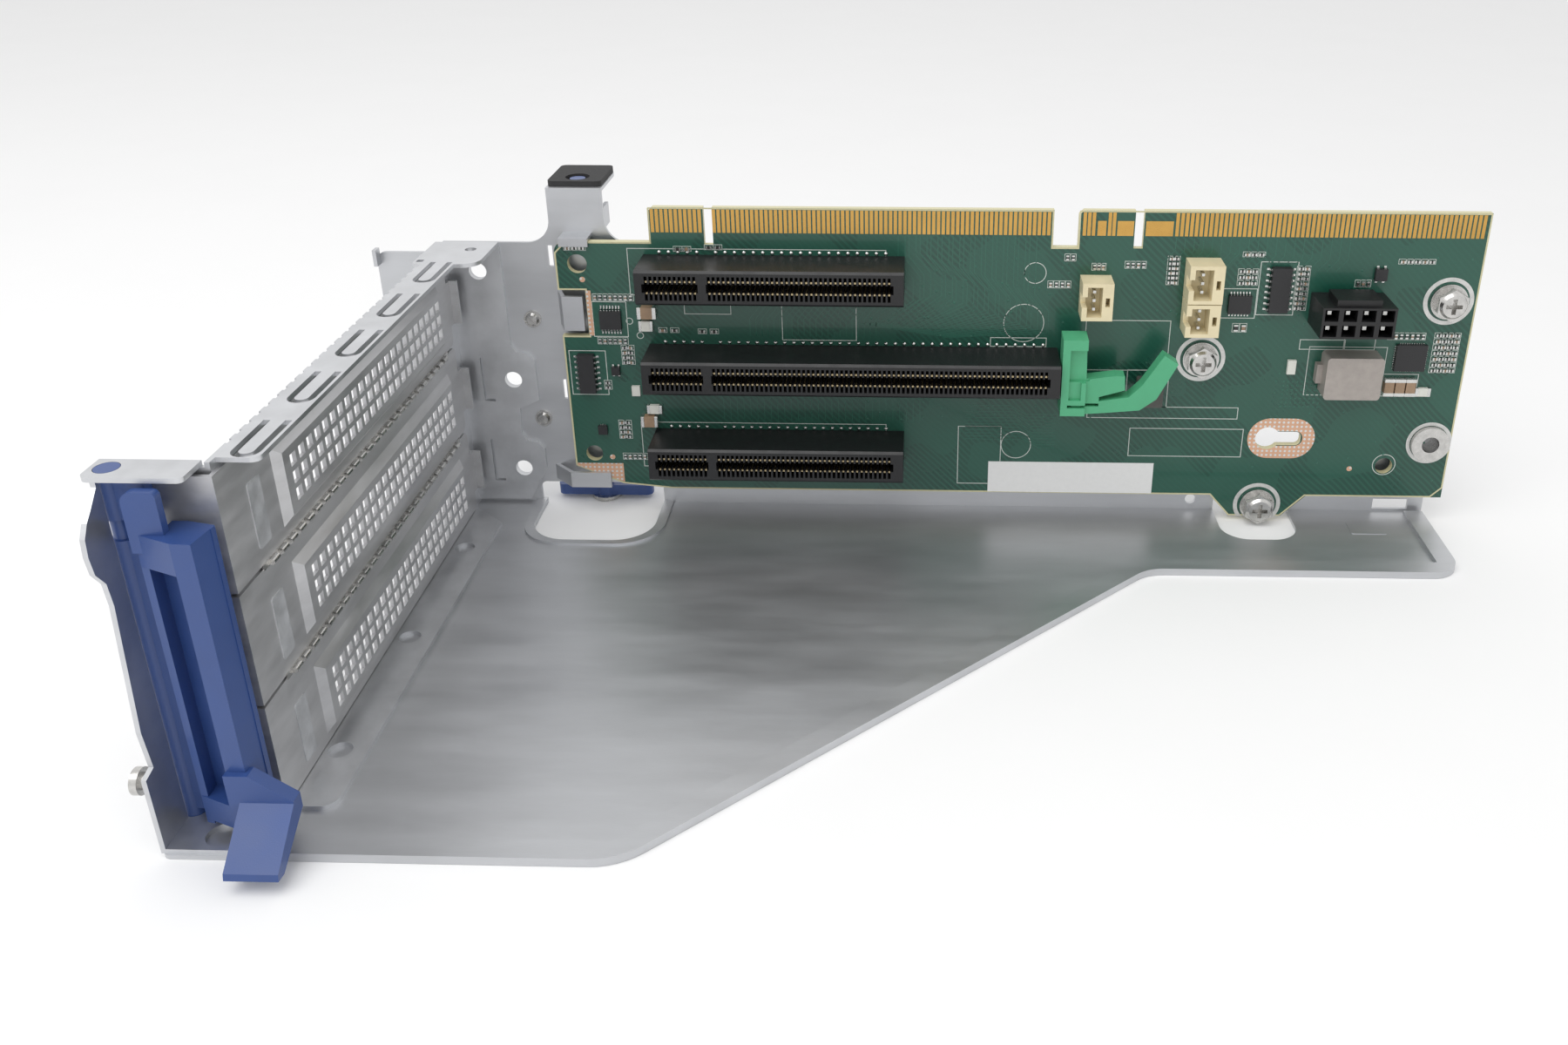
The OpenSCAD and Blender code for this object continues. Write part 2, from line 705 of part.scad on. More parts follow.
module board_outline() {
    t1 = pin_x - 0.9;
    t2 = t1 + tongue_l + tongue_gap;
    lz = board_z;
    difference() {
        union() {
            rect(x_l, board_z, x_r, board_top);
            rect(t1, board_z, t1 + tongue_l, board_top + tongue_h);
            rect(t2, board_z, x_r, board_top + tongue_h);
            // lobe around the lower screw
            polygon([[lobe_x - 10.9, lz + eps], [lobe_x - 10.5, lz - 0.2], [lobe_x - 6.2, lz - 5.2],
                [lobe_x + 5.6, lz - 5.2], [lobe_x + 10.6, lz - 0.2], [lobe_x + 10.9, lz + eps]]);
        }
        rect(t1 + tongue_l, board_top - 0.4, t2, board_top + tongue_h + 1);
        for (t = [t1, t2]) {
            rect(t + 11.65, board_top - 0.5, t + 13.55, board_top + tongue_h + 1);
            translate([t, board_top + tongue_h]) rotate(45) square(1.4, center = true);
        }
        corner([x_l, 0], [x_l, board_top], [x_r, board_top], 2.5);
        corner([x_r, 0], [x_r, board_z], [x_l, board_z], 2.5);
        polygon([[x_l - 1, board_z - 1], [x_l + 21.6, board_z - 1], [x_l + 21.6, board_z],
            [x_l + 10.6, board_z + 1.1], [x_l + 0.2, board_z + 5.5], [x_l - 1, board_z + 5.5]]);
        rect(x_l - 1, board_z + 37.1, x_l + 5.9, board_z + 47.6);
        translate([x_l + 4.7, board_top - 4.9]) circle(r = 2.1);
        translate([x_l + 4.5, board_z + 8.7]) circle(r = 1.9);
        translate([x_r - 13.9, board_z + 7.8]) circle(r = 1.9);
        translate([key_hole_x, key_hole_z]) circle(r = 2.7);
        rrect(key_hole_x, key_hole_z - 1.65, key_hole_x + 7.3, key_hole_z + 1.65, 1.2);
        translate(nut_at) circle(r = 2.6);
        for (p = [screw_1, screw_2, screw_3]) {
            translate(p) circle(r = 1.7);
        }
    }
}

module riser_board() {
    color([0.05, 0.30, 0.20]) xz(0, board_t) board_outline();
}

finger_w_gold = 0.7;
gold_t = 0.05;
gold_h = 5.0;
gold_top = board_top + tongue_h - 0.4;
tongue_0 = pin_x - 0.9;
tongue_1 = tongue_0 + tongue_l + tongue_gap;
// wide pads of the second tongue, measured from its left end
wide_pads = [[3.9, 5.7], [8.0, 11.4], [13.9, 19.6]];
// contacts left of the second key, measured the same way
lone_fingers = [1.2, 2.15, 3.1, 6.4, 7.3];
row_start = 20.4;
row_count = floor((x_r - 1 - tongue_1 - row_start) / pin_pitch);

module gold_finger(x) {
    box([x - finger_w_gold / 2, -gold_t, gold_top - gold_h], [x + finger_w_gold / 2, 0, gold_top]);
}

// gold fingers on the card side of the two tongues
module edge_contacts() {
    color([0.83, 0.66, 0.28]) {
        for (k = [0 : floor((tongue_l - 1.6) / pin_pitch)]) {
            if (k < 11 || k > 12) {
                gold_finger(pin_x + k * pin_pitch);
            }
        }
        for (p = lone_fingers) {
            gold_finger(tongue_1 + p);
        }
        for (w = wide_pads) {
            box([tongue_1 + w[0], -gold_t, gold_top - gold_h], [tongue_1 + w[1], 0, gold_top - 1.8]);
        }
        for (k = [0 : row_count]) {
            gold_finger(tongue_1 + row_start + k * pin_pitch);
        }
    }
}

ring_r = 5.3;

module board_pads() {
    color([0.78, 0.78, 0.76]) {
        xz(-gold_t, gold_t) intersection() {
            board_outline();
            difference() {
                union() {
                    for (p = [screw_1, screw_2, screw_3]) {
                        translate(p) circle(r = ring_r);
                    }
                    translate(nut_at) circle(r = 5);
                }
                for (p = [screw_1, screw_2, screw_3]) {
                    translate(p) circle(r = 4.4);
                }
                translate(nut_at) circle(r = 4.2);
            }
        }
    }
}

// bare copper: pad round the keyhole, corner pad, strip beside the notch, alignment dots
module copper_pads() {
    kx = key_hole_x;
    kz = key_hole_z;
    color([0.80, 0.56, 0.42]) {
        xz(-gold_t, gold_t) difference() {
            rrect(kx - 4.4, kz - 4.85, kx + 10.4, kz + 4.85, 4.8);
            translate([kx, kz]) circle(r = 2.7);
            rrect(kx, kz - 1.8, kx + 7.7, kz + 1.8, 1.7);
        }
        xz(-gold_t, gold_t) polygon([[x_l + 0.4, board_z + 5.6], [x_l + 8.4, board_z + 2.4],
            [x_l + 10.8, board_z + 1.5], [x_l + 10.8, board_z + 6.2], [x_l + 0.4, board_z + 6.2]]);
        xz(-gold_t, gold_t) rect(x_l + 6.0, board_z + 37.2, x_l + 7.0, board_z + 47.5);
        for (p = [[x_l + 5.5, board_z + 50], [x_l + 8.5, board_z + 7.8], [x_l + 174, board_z + 7]]) {
            xz(-gold_t, gold_t) translate(p) circle(r = 0.6, $fn = 24);
        }
    }
}

// ---- card slots ----

function slot_x1(pins) = pin_at(pins) + housing_tail;

module slot_housing(i, pins) {
    z = slot_z(i);
    x0 = pin_x - housing_lead;
    x1 = slot_x1(pins);
    key_x = pin_x + key_at;
    difference() {
        box([x0, -slot_d, z - slot_w / 2], [x1, 0, z + slot_w / 2]);
        box([pin_x - 0.9, -slot_d - 1, z - mouth_w / 2], [key_x, mouth_d - slot_d, z + mouth_w / 2]);
        box([key_x + key_w, -slot_d - 1, z - mouth_w / 2], [pin_at(pins) + 0.9, mouth_d - slot_d,
            z + mouth_w / 2]);
        for (n = [1 : pins]) {
            box([pin_at(n) - cavity_w / 2, -slot_d - 1, z - cavity_h / 2],
                [pin_at(n) + cavity_w / 2, cavity_d - slot_d, z + cavity_h / 2]);
        }
        // chamfered long edges of the front face
        for (s = [-1, 1]) {
            translate([(x0 + x1) / 2, -slot_d, z + s * slot_w / 2]) rotate([45, 0, 0])
                cube([x1 - x0 + 2, 0.7, 0.7], center = true);
        }
    }
}

module slot_contacts(i, pins) {
    z = slot_z(i);
    for (n = [1 : pins]) {
        for (s = [-1, 1]) {
            zc = z + s * (contact_gap + contact_t) / 2;
            box([pin_at(n) - contact_w / 2, 0.7 - slot_d, zc - contact_t / 2],
                [pin_at(n) + contact_w / 2, cavity_d - slot_d, zc + contact_t / 2]);
        }
    }
}

module slot_top() {
    color([0.09, 0.09, 0.10]) slot_housing(2, short_pins);
}

module slot_middle() {
    color([0.09, 0.09, 0.10]) slot_housing(1, long_pins);
}

module slot_bottom() {
    color([0.09, 0.09, 0.10]) slot_housing(0, short_pins);
}

module contacts_top() {
    color([0.70, 0.62, 0.40]) slot_contacts(2, short_pins);
}

module contacts_middle() {
    color([0.70, 0.62, 0.40]) slot_contacts(1, long_pins);
}

module contacts_bottom() {
    color([0.70, 0.62, 0.40]) slot_contacts(0, short_pins);
}

// ---- small parts of the board ----

header_d = 6;
header_wall = 0.8;
// centres of the three headers: x from the left edge, z above the board bottom, width, height
headers = [[114.75, 47.9, 6.5, 8.2], [137, 51.85, 7.2, 8.3], [136.95, 43.9, 7.1, 7.2]];

module fan_headers() {
    color([0.86, 0.80, 0.66]) for (h = headers) {
        x = x_l + h[0];
        z = board_z + h[1];
        difference() {
            box([x - h[2] / 2, -header_d, z - h[3] / 2], [x + h[2] / 2, 0, z + h[3] / 2]);
            box([x - h[2] / 2 + 1.1, -header_d - 1, z - h[3] / 2 + header_wall],
                [x + h[2] / 2 - 2.3, -1.2, z + h[3] / 2 - header_wall]);
            // latch window on the right side
            box([x + h[2] / 2 - 1.6, -header_d - 1, z - 1], [x + h[2] / 2 - 0.7, -3, z + 1]);
            box([x - h[2] / 2 - 1, -header_d - 1, z - 1.2], [x - h[2] / 2 + 2, -2.4, z + 1.2]);
        }
    }
}

module header_pins() {
    color([0.80, 0.74, 0.50]) for (h = headers) {
        for (k = [-1 : 1]) {
            z = board_z + h[1] + k * 1.9;
            x = x_l + h[0] - 0.6;
            box([x - 0.3, -4.6, z - 0.3], [x + 0.3, -1.2, z + 0.3]);
        }
    }
}

power_x0 = x_l + 160.4;
power_x1 = x_l + 175.6;
power_z0 = board_z + 41.9;
power_z1 = board_z + 48.6;
power_d = 10;

module power_socket() {
    px = (power_x1 - power_x0) / 4;
    pz = (power_z1 - power_z0) / 2;
    color([0.08, 0.08, 0.09]) difference() {
        union() {
            box([power_x0, -power_d, power_z0], [power_x1, 0, power_z1]);
            box([power_x0 + 3, -power_d + 1, power_z1 - eps], [power_x1 - 3, -2, power_z1 + 1.4]);
        }
        for (i = [0 : 3]) {
            for (j = [0 : 1]) {
                cx = power_x0 + (i + 0.5) * px;
                cz = power_z0 + (j + 0.5) * pz;
                box([cx - 1.4, -power_d - 1, cz - 1.25], [cx + 1.4, -2, cz + 1.25]);
            }
        }
    }
}

module power_pins() {
    px = (power_x1 - power_x0) / 4;
    pz = (power_z1 - power_z0) / 2;
    color([0.75, 0.72, 0.62]) for (i = [0 : 3]) {
        for (j = [0 : 1]) {
            cx = power_x0 + (i + 0.5) * px;
            cz = power_z0 + (j + 0.5) * pz;
            box([cx - 0.4, -8, cz - 0.4], [cx + 0.4, -2, cz + 0.4]);
        }
    }
}

// chips: x0, z0, x1, z1 from the left edge and bottom of the board, then height
chips = [[151.5, 44.3, 155.5, 54.2, 1.6], [143.1, 43.9, 147.9, 47.8, 1.0], [180, 31, 186.5, 37, 0.9],
    [3, 24, 6.5, 33, 1.5], [8.6, 38.9, 13.2, 43, 1.0], [6, 13.7, 8, 15.7, 0.9],
    [173, 51.5, 175.5, 54, 1.0], [10.2, 28.2, 12, 30, 1.0]];

module board_chips() {
    color([0.10, 0.10, 0.11]) for (c = chips) {
        box([x_l + c[0], -c[4], board_z + c[1]], [x_l + c[2], 0, board_z + c[3]]);
    }
}

module power_inductor() {
    color([0.48, 0.48, 0.48]) {
        x0 = x_l + 164.4;
        z0 = board_z + 25.9;
        xz(-5, 5) rrect(x0, z0, x0 + 12, z0 + 9.6, 0.8);
    }
    color([0.75, 0.74, 0.72]) box([x_l + 163.2, -2, board_z + 28.5], [x_l + 164.4, 0, board_z + 32.8]);
}

module small_inductor() {
    x0 = pivot_x + 13.85;
    z0 = board_z + 22.7;
    color([0.36, 0.35, 0.35]) xz(-3, 3) rrect(x0, z0, x0 + 5.6, z0 + 6.3, 0.5);
}

caps = [[178.3, 25.4, 180.5, 29.4, 1.6], [180.6, 25.4, 182.8, 29.4, 1.6], [182.9, 25.4, 185.1, 29.4, 1.6],
    [17, 41.7, 21, 44.3, 1.8], [16, 16.1, 19.7, 18.6, 1.8]];

module board_caps() {
    color([0.62, 0.48, 0.34]) for (c = caps) {
        box([x_l + c[0] + 0.1, -c[4], board_z + c[1]], [x_l + c[2] - 0.1, 0, board_z + c[3]]);
    }
}

fuses = [[185.4, 25.1, 188.7, 27, 0.8], [17, 38.6, 20, 40.9, 1.0], [17.4, 19.0, 20.7, 21.0, 1.0],
    [14.3, 23.2, 16.1, 25.5, 0.8], [157.2, 30, 159, 33.2, 0.8]];

module board_fuses() {
    color([0.85, 0.85, 0.80]) for (c = fuses) {
        box([x_l + c[0], -c[4], board_z + c[1]], [x_l + c[2], 0, board_z + c[3]]);
    }
}

standoff_r = 3;

module standoffs() {
    color([0.72, 0.72, 0.70]) for (p = [screw_1, screw_2, screw_3]) {
        xz(board_t, wall_y - board_t) translate(p) difference() {
            circle(r = standoff_r);
            circle(r = 1.5);
        }
    }
}

module board_screws() {
    color([0.74, 0.74, 0.74]) for (p = [screw_1, screw_2, screw_3]) {
        translate([p[0], 0, p[1]]) rotate([90, 0, 0]) {
            difference() {
                union() {
                    translate([0, 0, 0.1 - wall_gap]) cylinder(r = 1.5, h = wall_gap + 1);
                    cylinder(r = 3.9, h = 0.6);
                    translate([0, 0, 0.6 - eps]) cylinder(r = 3.6, h = 0.5);
                    translate([0, 0, 1.1 - 2 * eps]) rotate(30) cylinder(r = 3.5, h = 2.0, $fn = 6);
                    translate([0, 0, 3.1 - 3 * eps]) cylinder(r1 = 2.9, r2 = 2.4, h = 0.6);
                }
                translate([0, 0, 3]) cube([0.9, 3.4, 2.4], center = true);
                translate([0, 0, 3]) cube([3.4, 0.9, 2.4], center = true);
            }
        }
    }
}

module insert_nut() {
    color([0.74, 0.73, 0.70]) translate([nut_at[0], 0, nut_at[1]]) rotate([90, 0, 0]) difference() {
        union() {
            cylinder(r = 4.1, h = 1.2);
            translate([0, 0, -wall_gap]) cylinder(r = 2.6, h = wall_gap + eps);
        }
        translate([0, 0, -wall_gap - 1]) cylinder(r = 1.9, h = wall_gap + 4);
    }
}

label_l = 37;
label_h = 7.6;
label_t = 0.1;

module board_label() {
    x0 = x_l + 93.4;
    z0 = board_z + 0.2;
    color([0.90, 0.90, 0.88]) xz(-label_t, label_t) rect(x0, z0, x0 + label_l, z0 + label_h);
}

// ---- card lock ----

// foot on the board behind the slot end, with the pivot pin
module lock_base() {
    color([0.42, 0.78, 0.58]) {
        difference() {
            box([pivot_x - 2.8, -4, pivot_z - 4.2], [pivot_x + 3.4, 0, pivot_z + 3]);
            translate([pivot_x + 0.3, 1, pivot_z - 4.2]) rotate([90, 0, 0]) cylinder(r = 1.5, h = 6);
        }
        translate([pivot_x, -3.9, pivot_z]) rotate([90, 0, 0]) cylinder(r = pivot_r, h = 5.1);
    }
}

// swinging hook with its two arms, seen from the card side
module lock_outline() {
    x0 = lock_x;
    z0 = pivot_z;
    polygon([
        [x0, z0 - 2.4], [x0 + 5.2, z0 - 2.4], [x0 + 10.5, z0 - 2.0], [x0 + 17, z0 - 1.4],
        [x0 + 20.4, z0 + 1.2], [x0 + 24.4, z0 + 9.2], [x0 + 21.4, z0 + 11.2], [x0 + 17.2, z0 + 4.4],
        [x0 + 14.5, z0 + 1.6], [x0 + 8.2, z0 + 0.6], [x0 + 8.2, z0 + 1.6], [x0 + 13.6, z0 + 3.2],
        [x0 + 13.4, z0 + 6.4], [x0 + 11.5, z0 + 6.5], [x0 + 5.4, z0 + 5.6],
        [x0 + 5.1, z0 + 14.9], [x0, z0 + 14.9]
    ]);
}

module card_lock() {
    x0 = lock_x;
    z0 = pivot_z;
    color([0.42, 0.78, 0.58]) difference() {
        union() {
            xz(lock_front + 1.2, lock_arm_t) lock_outline();
            // tall body beside the slot end
            xz(lock_front, 5.7) rect(x0, z0 - 2.4, x0 + 5.2, z0 + 14.9);
        }
        // pocket in the front of the body
        box([x0 + 1.6, lock_front - 1, z0 + 5.2], [x0 + 6, lock_front + 1.6, z0 + 12.6]);
        box([x0 + 1.6, lock_front - 1, z0 + 1.2], [x0 + 4.2, lock_front + 0.8, z0 + 5.4]);
        translate([pivot_x, 0, z0]) rotate([90, 0, 0]) cylinder(r = pivot_r + pivot_fit, h = 9.1);
        // slit between body and long arm
        box([x0 + 1.4, lock_front - 1, z0 - 0.6], [x0 + 8.2, lock_front + 3.6, z0 + 0.1]);
    }
}

// ---- retainer door ----

door_top = cage_h - sheet_t - 0.6;
door_low = floor_z + 1.4;

module retainer_door() {
    ax = hinge_x;
    ay = hinge_y;
    b = front_y;
    xl = side_x + 4.7;
    xr = frame_x + 0.9;
    pocket_z0 = board_z + 2;
    pocket_z1 = cage_h - 13.6;
    bar_z1 = cage_h - 8.2;
    color([0.16, 0.27, 0.60]) {
        difference() {
            union() {
                // hinge post with its two pins
                translate([ax, ay, hinge_z0]) cylinder(r = hinge_r, h = cage_h - hinge_z0);
                // upper block and long rail beside the post
                box([ax, ay - 1.4, door_top - 6.4], [ax + 5.7, ay + 0.5, door_top]);
                box([ax, ay - 1.4, door_low], [ax + 5.4, ay + 0.5, bar_z1 - 3]);
                // left wall of the pocket
                xy(door_low, bar_z1 - door_low) polygon([[xl, ay - 1.3], [xl, b + 5.1], [xl + 1.3, b + 4.8],
                    [xl + 1.3, ay - 1.3]]);
                // back, right wall and bars of the pocket
                xy(pocket_z0 - 4.5, bar_z1 - pocket_z0 + 4.5) polygon([[xl, ay - 0.6], [xl, ay - 1.9],
                    [xr, ay - 2.9], [xr, ay - 1.7], [xl + 6, ay - 0.6]]);
                xy(pocket_z0 - 4.5, bar_z1 - pocket_z0 + 4.5) polygon([[xr - 3.9, ay - 2], [xr - 3.9, b + 2.4],
                    [xr - 0.7, b + 2.2], [xr, ay - 1.7]]);
                xy(pocket_z1, bar_z1 - pocket_z1) polygon([[xl, ay - 1.4], [xl, b + 5.1],
                    [xr - 3.8, b + 2.4], [xr - 3.8, ay - 1.7]]);
                xy(pocket_z0 - 4.5, 4.5) polygon([[xl, ay - 1.4], [xl, b + 5.1], [xr - 3.8, b + 2.4],
                    [xr - 3.8, ay - 1.7]]);
                // flat tab at the upper left
                xz(b + 4.7, 1.5) difference() {
                    rect(xl - 0.5, bar_z1 - 3, xl + 4.7, door_top);
                    corner([xl - 0.5, 0], [xl - 0.5, door_top], [xl + 4, door_top], 1.8);
                    corner([xl + 4.7, 0], [xl + 4.7, door_top], [xl, door_top], 0.8);
                }
                box([xl, b + 5.2, bar_z1 - 1], [xl + 1.3, ay - 1.2, door_top - 2]);
                // finger tab
                finger(xr, b);
            }
            // pins are only at the ends, the post is cut free between block and rail
            box([ax - 3, ay - 3, bar_z1 - 3], [ax + 8, ay + 3, door_top - 6.4]);
            // shallow step near the lower end of the rail
            box([ax + 2.4, ay - 3, door_low + 4.6], [ax + 4.4, ay - 0.9, door_low + 9.6]);
        }
        translate([ax, ay, bar_z1 - 3 - eps]) cylinder(r = hinge_r - 0.4, h = door_top - 6.4 - bar_z1 + 3 + 2 * eps);
    }
}

// flared lower corner and finger tab
module finger(xr, b) {
    xz(b + 1.2, 2.4) polygon([[xr - 3.8, board_z + 9], [xr, board_z + 9], [xr + 6.3, board_z + 4.4],
        [xr + 6.3, board_z + 1.6], [xr + 1, board_z - 2.5], [xr - 3.8, board_z - 2.5]]);
    yz(xr - 2.1, finger_w) polygon([[b + 3.4, board_z + 4], [b + 3.4, board_z + 1.6],
        [b + 2.6 - finger_l, floor_z + 1], [b + 1.2 - finger_l - 0.6, floor_z + 1.2],
        [b + 0.9 - finger_l, floor_z + 2.3], [b + 1.2, board_z + 4]]);
}

// ---- latch ----

module latch_handle() {
    color([0.16, 0.27, 0.60]) {
        translate([0, 0, bar_z]) linear_extrude(height = bar_t) {
            rrect(latch_x - bar_l / 2, latch_y - bar_w / 2, latch_x + bar_l / 2, latch_y + bar_w / 2, 1.4);
            translate([latch_x, latch_y]) circle(r = bar_w / 2 + 0.6);
        }
        translate([latch_x, latch_y, bar_z + bar_t - eps]) difference() {
            cylinder(r = shaft_r, h = shaft_top - bar_z - bar_t);
            translate([0, 0, washer_z - clip_t - bar_z - bar_t + eps]) difference() {
                cylinder(r = shaft_r + 1, h = clip_t);
                cylinder(r = groove_r, h = clip_t);
            }
        }
    }
}

module latch_head() {
    color([0.66, 0.67, 0.68]) translate([latch_x, latch_y, head_z]) cylinder(r = head_r, h = head_t);
}

module latch_washer() {
    color([0.72, 0.72, 0.72]) translate([latch_x, latch_y, washer_z]) difference() {
        cylinder(r = 3.1, h = washer_t);
        translate([0, 0, -1]) cylinder(r = shaft_r + 0.05, h = 3);
    }
}

module latch_clip() {
    color([0.55, 0.55, 0.56]) translate([latch_x, latch_y, washer_z - clip_t]) difference() {
        cylinder(r = 2.6, h = clip_t);
        translate([0, 0, -1]) cylinder(r = groove_r, h = 3);
        translate([-1.1, 0, -1]) cube([2.2, 4, 3]);
    }
}

coil_sides = 8;
coil_steps = 20;

// one point of the ring number k around the wire of the coil
function coil_point(k, j, z0, rise) =
    let (a = k * 360 / coil_steps, b = j * 360 / coil_sides, r = spring_r + spring_wire * cos(b))
    [r * cos(a), r * sin(a), z0 + rise * k + spring_wire * sin(b)];

// coil between the washer and the top tab
module latch_spring() {
    rings = spring_turns * coil_steps;
    z0 = washer_z + washer_t + spring_wire;
    z1 = arm_z - sheet_t - spring_wire;
    rise = (z1 - z0) / rings;
    n = coil_sides;
    color([0.70, 0.71, 0.72]) translate([latch_x, latch_y, 0]) polyhedron(
        points = [for (k = [0 : rings]) for (j = [0 : n - 1]) coil_point(k, j, z0, rise)],
        faces = concat(
            [[for (j = [0 : n - 1]) j]],
            [[for (j = [0 : n - 1]) rings * n + n - 1 - j]],
            [for (k = [0 : rings - 1]) for (j = [0 : n - 1])
                [k * n + j, (k + 1) * n + j, (k + 1) * n + (j + 1) % n, k * n + (j + 1) % n]]
        ));
}
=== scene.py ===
"""Looks of the riser cage bracket: finishes for the packed parts, and the small board details."""

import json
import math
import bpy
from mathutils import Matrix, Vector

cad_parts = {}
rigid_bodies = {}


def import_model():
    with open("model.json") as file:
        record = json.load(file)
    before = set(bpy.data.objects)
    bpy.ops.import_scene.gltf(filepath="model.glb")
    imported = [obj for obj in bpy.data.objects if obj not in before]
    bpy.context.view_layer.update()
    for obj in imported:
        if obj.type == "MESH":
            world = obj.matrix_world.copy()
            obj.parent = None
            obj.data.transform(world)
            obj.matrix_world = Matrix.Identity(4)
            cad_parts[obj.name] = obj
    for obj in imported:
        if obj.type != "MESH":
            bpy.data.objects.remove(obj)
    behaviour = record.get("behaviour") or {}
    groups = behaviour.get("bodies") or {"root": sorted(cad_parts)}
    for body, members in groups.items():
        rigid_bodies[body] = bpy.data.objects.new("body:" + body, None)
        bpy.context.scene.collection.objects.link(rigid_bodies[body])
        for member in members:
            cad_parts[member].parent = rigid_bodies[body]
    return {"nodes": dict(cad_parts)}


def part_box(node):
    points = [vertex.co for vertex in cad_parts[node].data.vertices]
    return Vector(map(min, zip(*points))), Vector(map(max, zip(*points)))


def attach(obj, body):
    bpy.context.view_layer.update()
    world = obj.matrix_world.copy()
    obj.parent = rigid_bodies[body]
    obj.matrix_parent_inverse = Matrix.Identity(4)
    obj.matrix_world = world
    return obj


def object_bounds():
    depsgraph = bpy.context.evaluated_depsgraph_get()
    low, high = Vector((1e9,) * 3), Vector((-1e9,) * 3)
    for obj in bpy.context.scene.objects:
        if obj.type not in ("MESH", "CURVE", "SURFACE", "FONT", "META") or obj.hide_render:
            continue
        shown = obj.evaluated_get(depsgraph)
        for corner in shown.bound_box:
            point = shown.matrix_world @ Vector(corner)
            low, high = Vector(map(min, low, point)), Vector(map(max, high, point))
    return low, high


bl_info = {
    "name": "Riser cage bracket looks",
    "version": (1, 0, 0),
    "blender": (4, 5, 0),
    "location": "View3D > Sidebar > Riser cage",
    "description": "Finishes and board details of a riser cage bracket",
    "category": "Object",
}

import bpy
import numpy as np
from bpy.props import FloatProperty, FloatVectorProperty, PointerProperty

for leftover in list(bpy.data.objects):
    bpy.data.objects.remove(leftover)
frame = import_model()
CAD_BOX = [list(corner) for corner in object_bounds()]
NODES = frame["nodes"]
MM = 0.001
# the label lies this far above the lower edge of the board
LABEL_RISE = 0.2 * MM
# left edge and lower edge of the board, from which the small parts are placed
EDGE_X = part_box("riser_board")[0][0]
EDGE_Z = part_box("board_label")[0][2] - LABEL_RISE
SLOTS = ("slot_bottom", "slot_middle", "slot_top")
# how far ink, tracks and the edge band stand out of the board's face, and a track's width
INK_T = 0.02 * MM
BAND_T = 0.03 * MM
TRACK_W = 0.17 * MM


# ---- sizes and colours that a user would change ----


def tint(name, description, default):
    return FloatVectorProperty(name=name, description=description, default=default, size=3,
                               subtype="COLOR", min=0.0, max=1.0)


def length(name, description, default):
    return FloatProperty(name=name, description=description, default=default, unit="LENGTH",
                         subtype="DISTANCE", min=0.0, precision=5)


def share(name, description, default):
    return FloatProperty(name=name, description=description, default=default, min=0.0, max=1.0,
                         subtype="FACTOR")


class RiserMetalLook(bpy.types.PropertyGroup):
    """Colours and gloss of the metal parts"""

    plate: tint("Cage sheet", "Colour of the galvanised cage sheet", (0.60, 0.61, 0.63))
    frame: tint("Slot frame", "Colour of the brighter slot frame", (0.66, 0.67, 0.69))
    cover: tint("Slot covers", "Colour of the zinc plated covers", (0.62, 0.62, 0.63))
    plated: tint("Plated parts", "Colour of screws, studs and washers", (0.66, 0.65, 0.63))
    gold: tint("Gold", "Colour of the gold plated contacts", (0.66, 0.39, 0.11))
    copper: tint("Bare copper", "Colour of the bare copper pads", (0.74, 0.44, 0.29))
    tin: tint("Tin", "Colour of solder and tinned pads", (0.72, 0.72, 0.70))
    roughness: share("Sheet roughness", "Roughness of the sheet metal", 0.40)


class RiserBoardLook(bpy.types.PropertyGroup):
    """Colours of the riser board and sizes of its printed and soldered details"""

    mask: tint("Solder mask", "Green of the solder mask", (0.009, 0.070, 0.046))
    trace: tint("Covered copper", "Green of the mask over copper", (0.020, 0.120, 0.080))
    laminate: tint("Laminate", "Cream of the bare laminate edge", (0.62, 0.58, 0.36))
    ink: tint("Ink", "Colour of the printed outlines", (0.62, 0.66, 0.62))
    line: length("Ink line", "Width of a printed line", 0.16 * MM)
    dot: length("Solder dot", "Radius of a soldered pin end", 0.36 * MM)
    edge: length("Edge band", "Width of the bare band along the board edge", 0.35 * MM)


class RiserMouldingLook(bpy.types.PropertyGroup):
    """Colours of the moulded parts"""

    blue: tint("Touch blue", "Blue of the door and the latch", (0.032, 0.075, 0.250))
    green: tint("Lock green", "Green of the card lock", (0.085, 0.420, 0.215))
    black: tint("Slot black", "Black of the card slots", (0.010, 0.010, 0.011))
    ivory: tint("Ivory", "Ivory of the small headers", (0.80, 0.70, 0.46))
    gloss: share("Roughness", "Roughness of the mouldings", 0.36)


class RiserStageLook(bpy.types.PropertyGroup):
    """Floor, light and camera"""

    floor: tint("Floor", "Colour of the floor and backdrop", (0.93, 0.93, 0.93))
    world: share("Sky light", "Strength of the even light from all sides", 0.80)
    key: FloatProperty(name="Key light", description="Power of the soft lamp above", default=3.2,
                       min=0.0, unit="POWER")
    lens: FloatProperty(name="Lens", description="Focal length of the camera", default=31.484,
                        min=1.0, unit="CAMERA")


LOOKS = (
    ("riser_metal", RiserMetalLook),
    ("riser_board", RiserBoardLook),
    ("riser_moulding", RiserMouldingLook),
    ("riser_stage", RiserStageLook),
)


def look(name):
    """The property group of that name on the scene."""
    return getattr(bpy.context.scene, name)


# ---- surfaces worked out with numpy ----


def place(bx, bz):
    """Board place in millimetres from its left and lower edge, as x and z in metres."""
    return EDGE_X + np.asarray(bx, float) * MM, EDGE_Z + np.asarray(bz, float) * MM


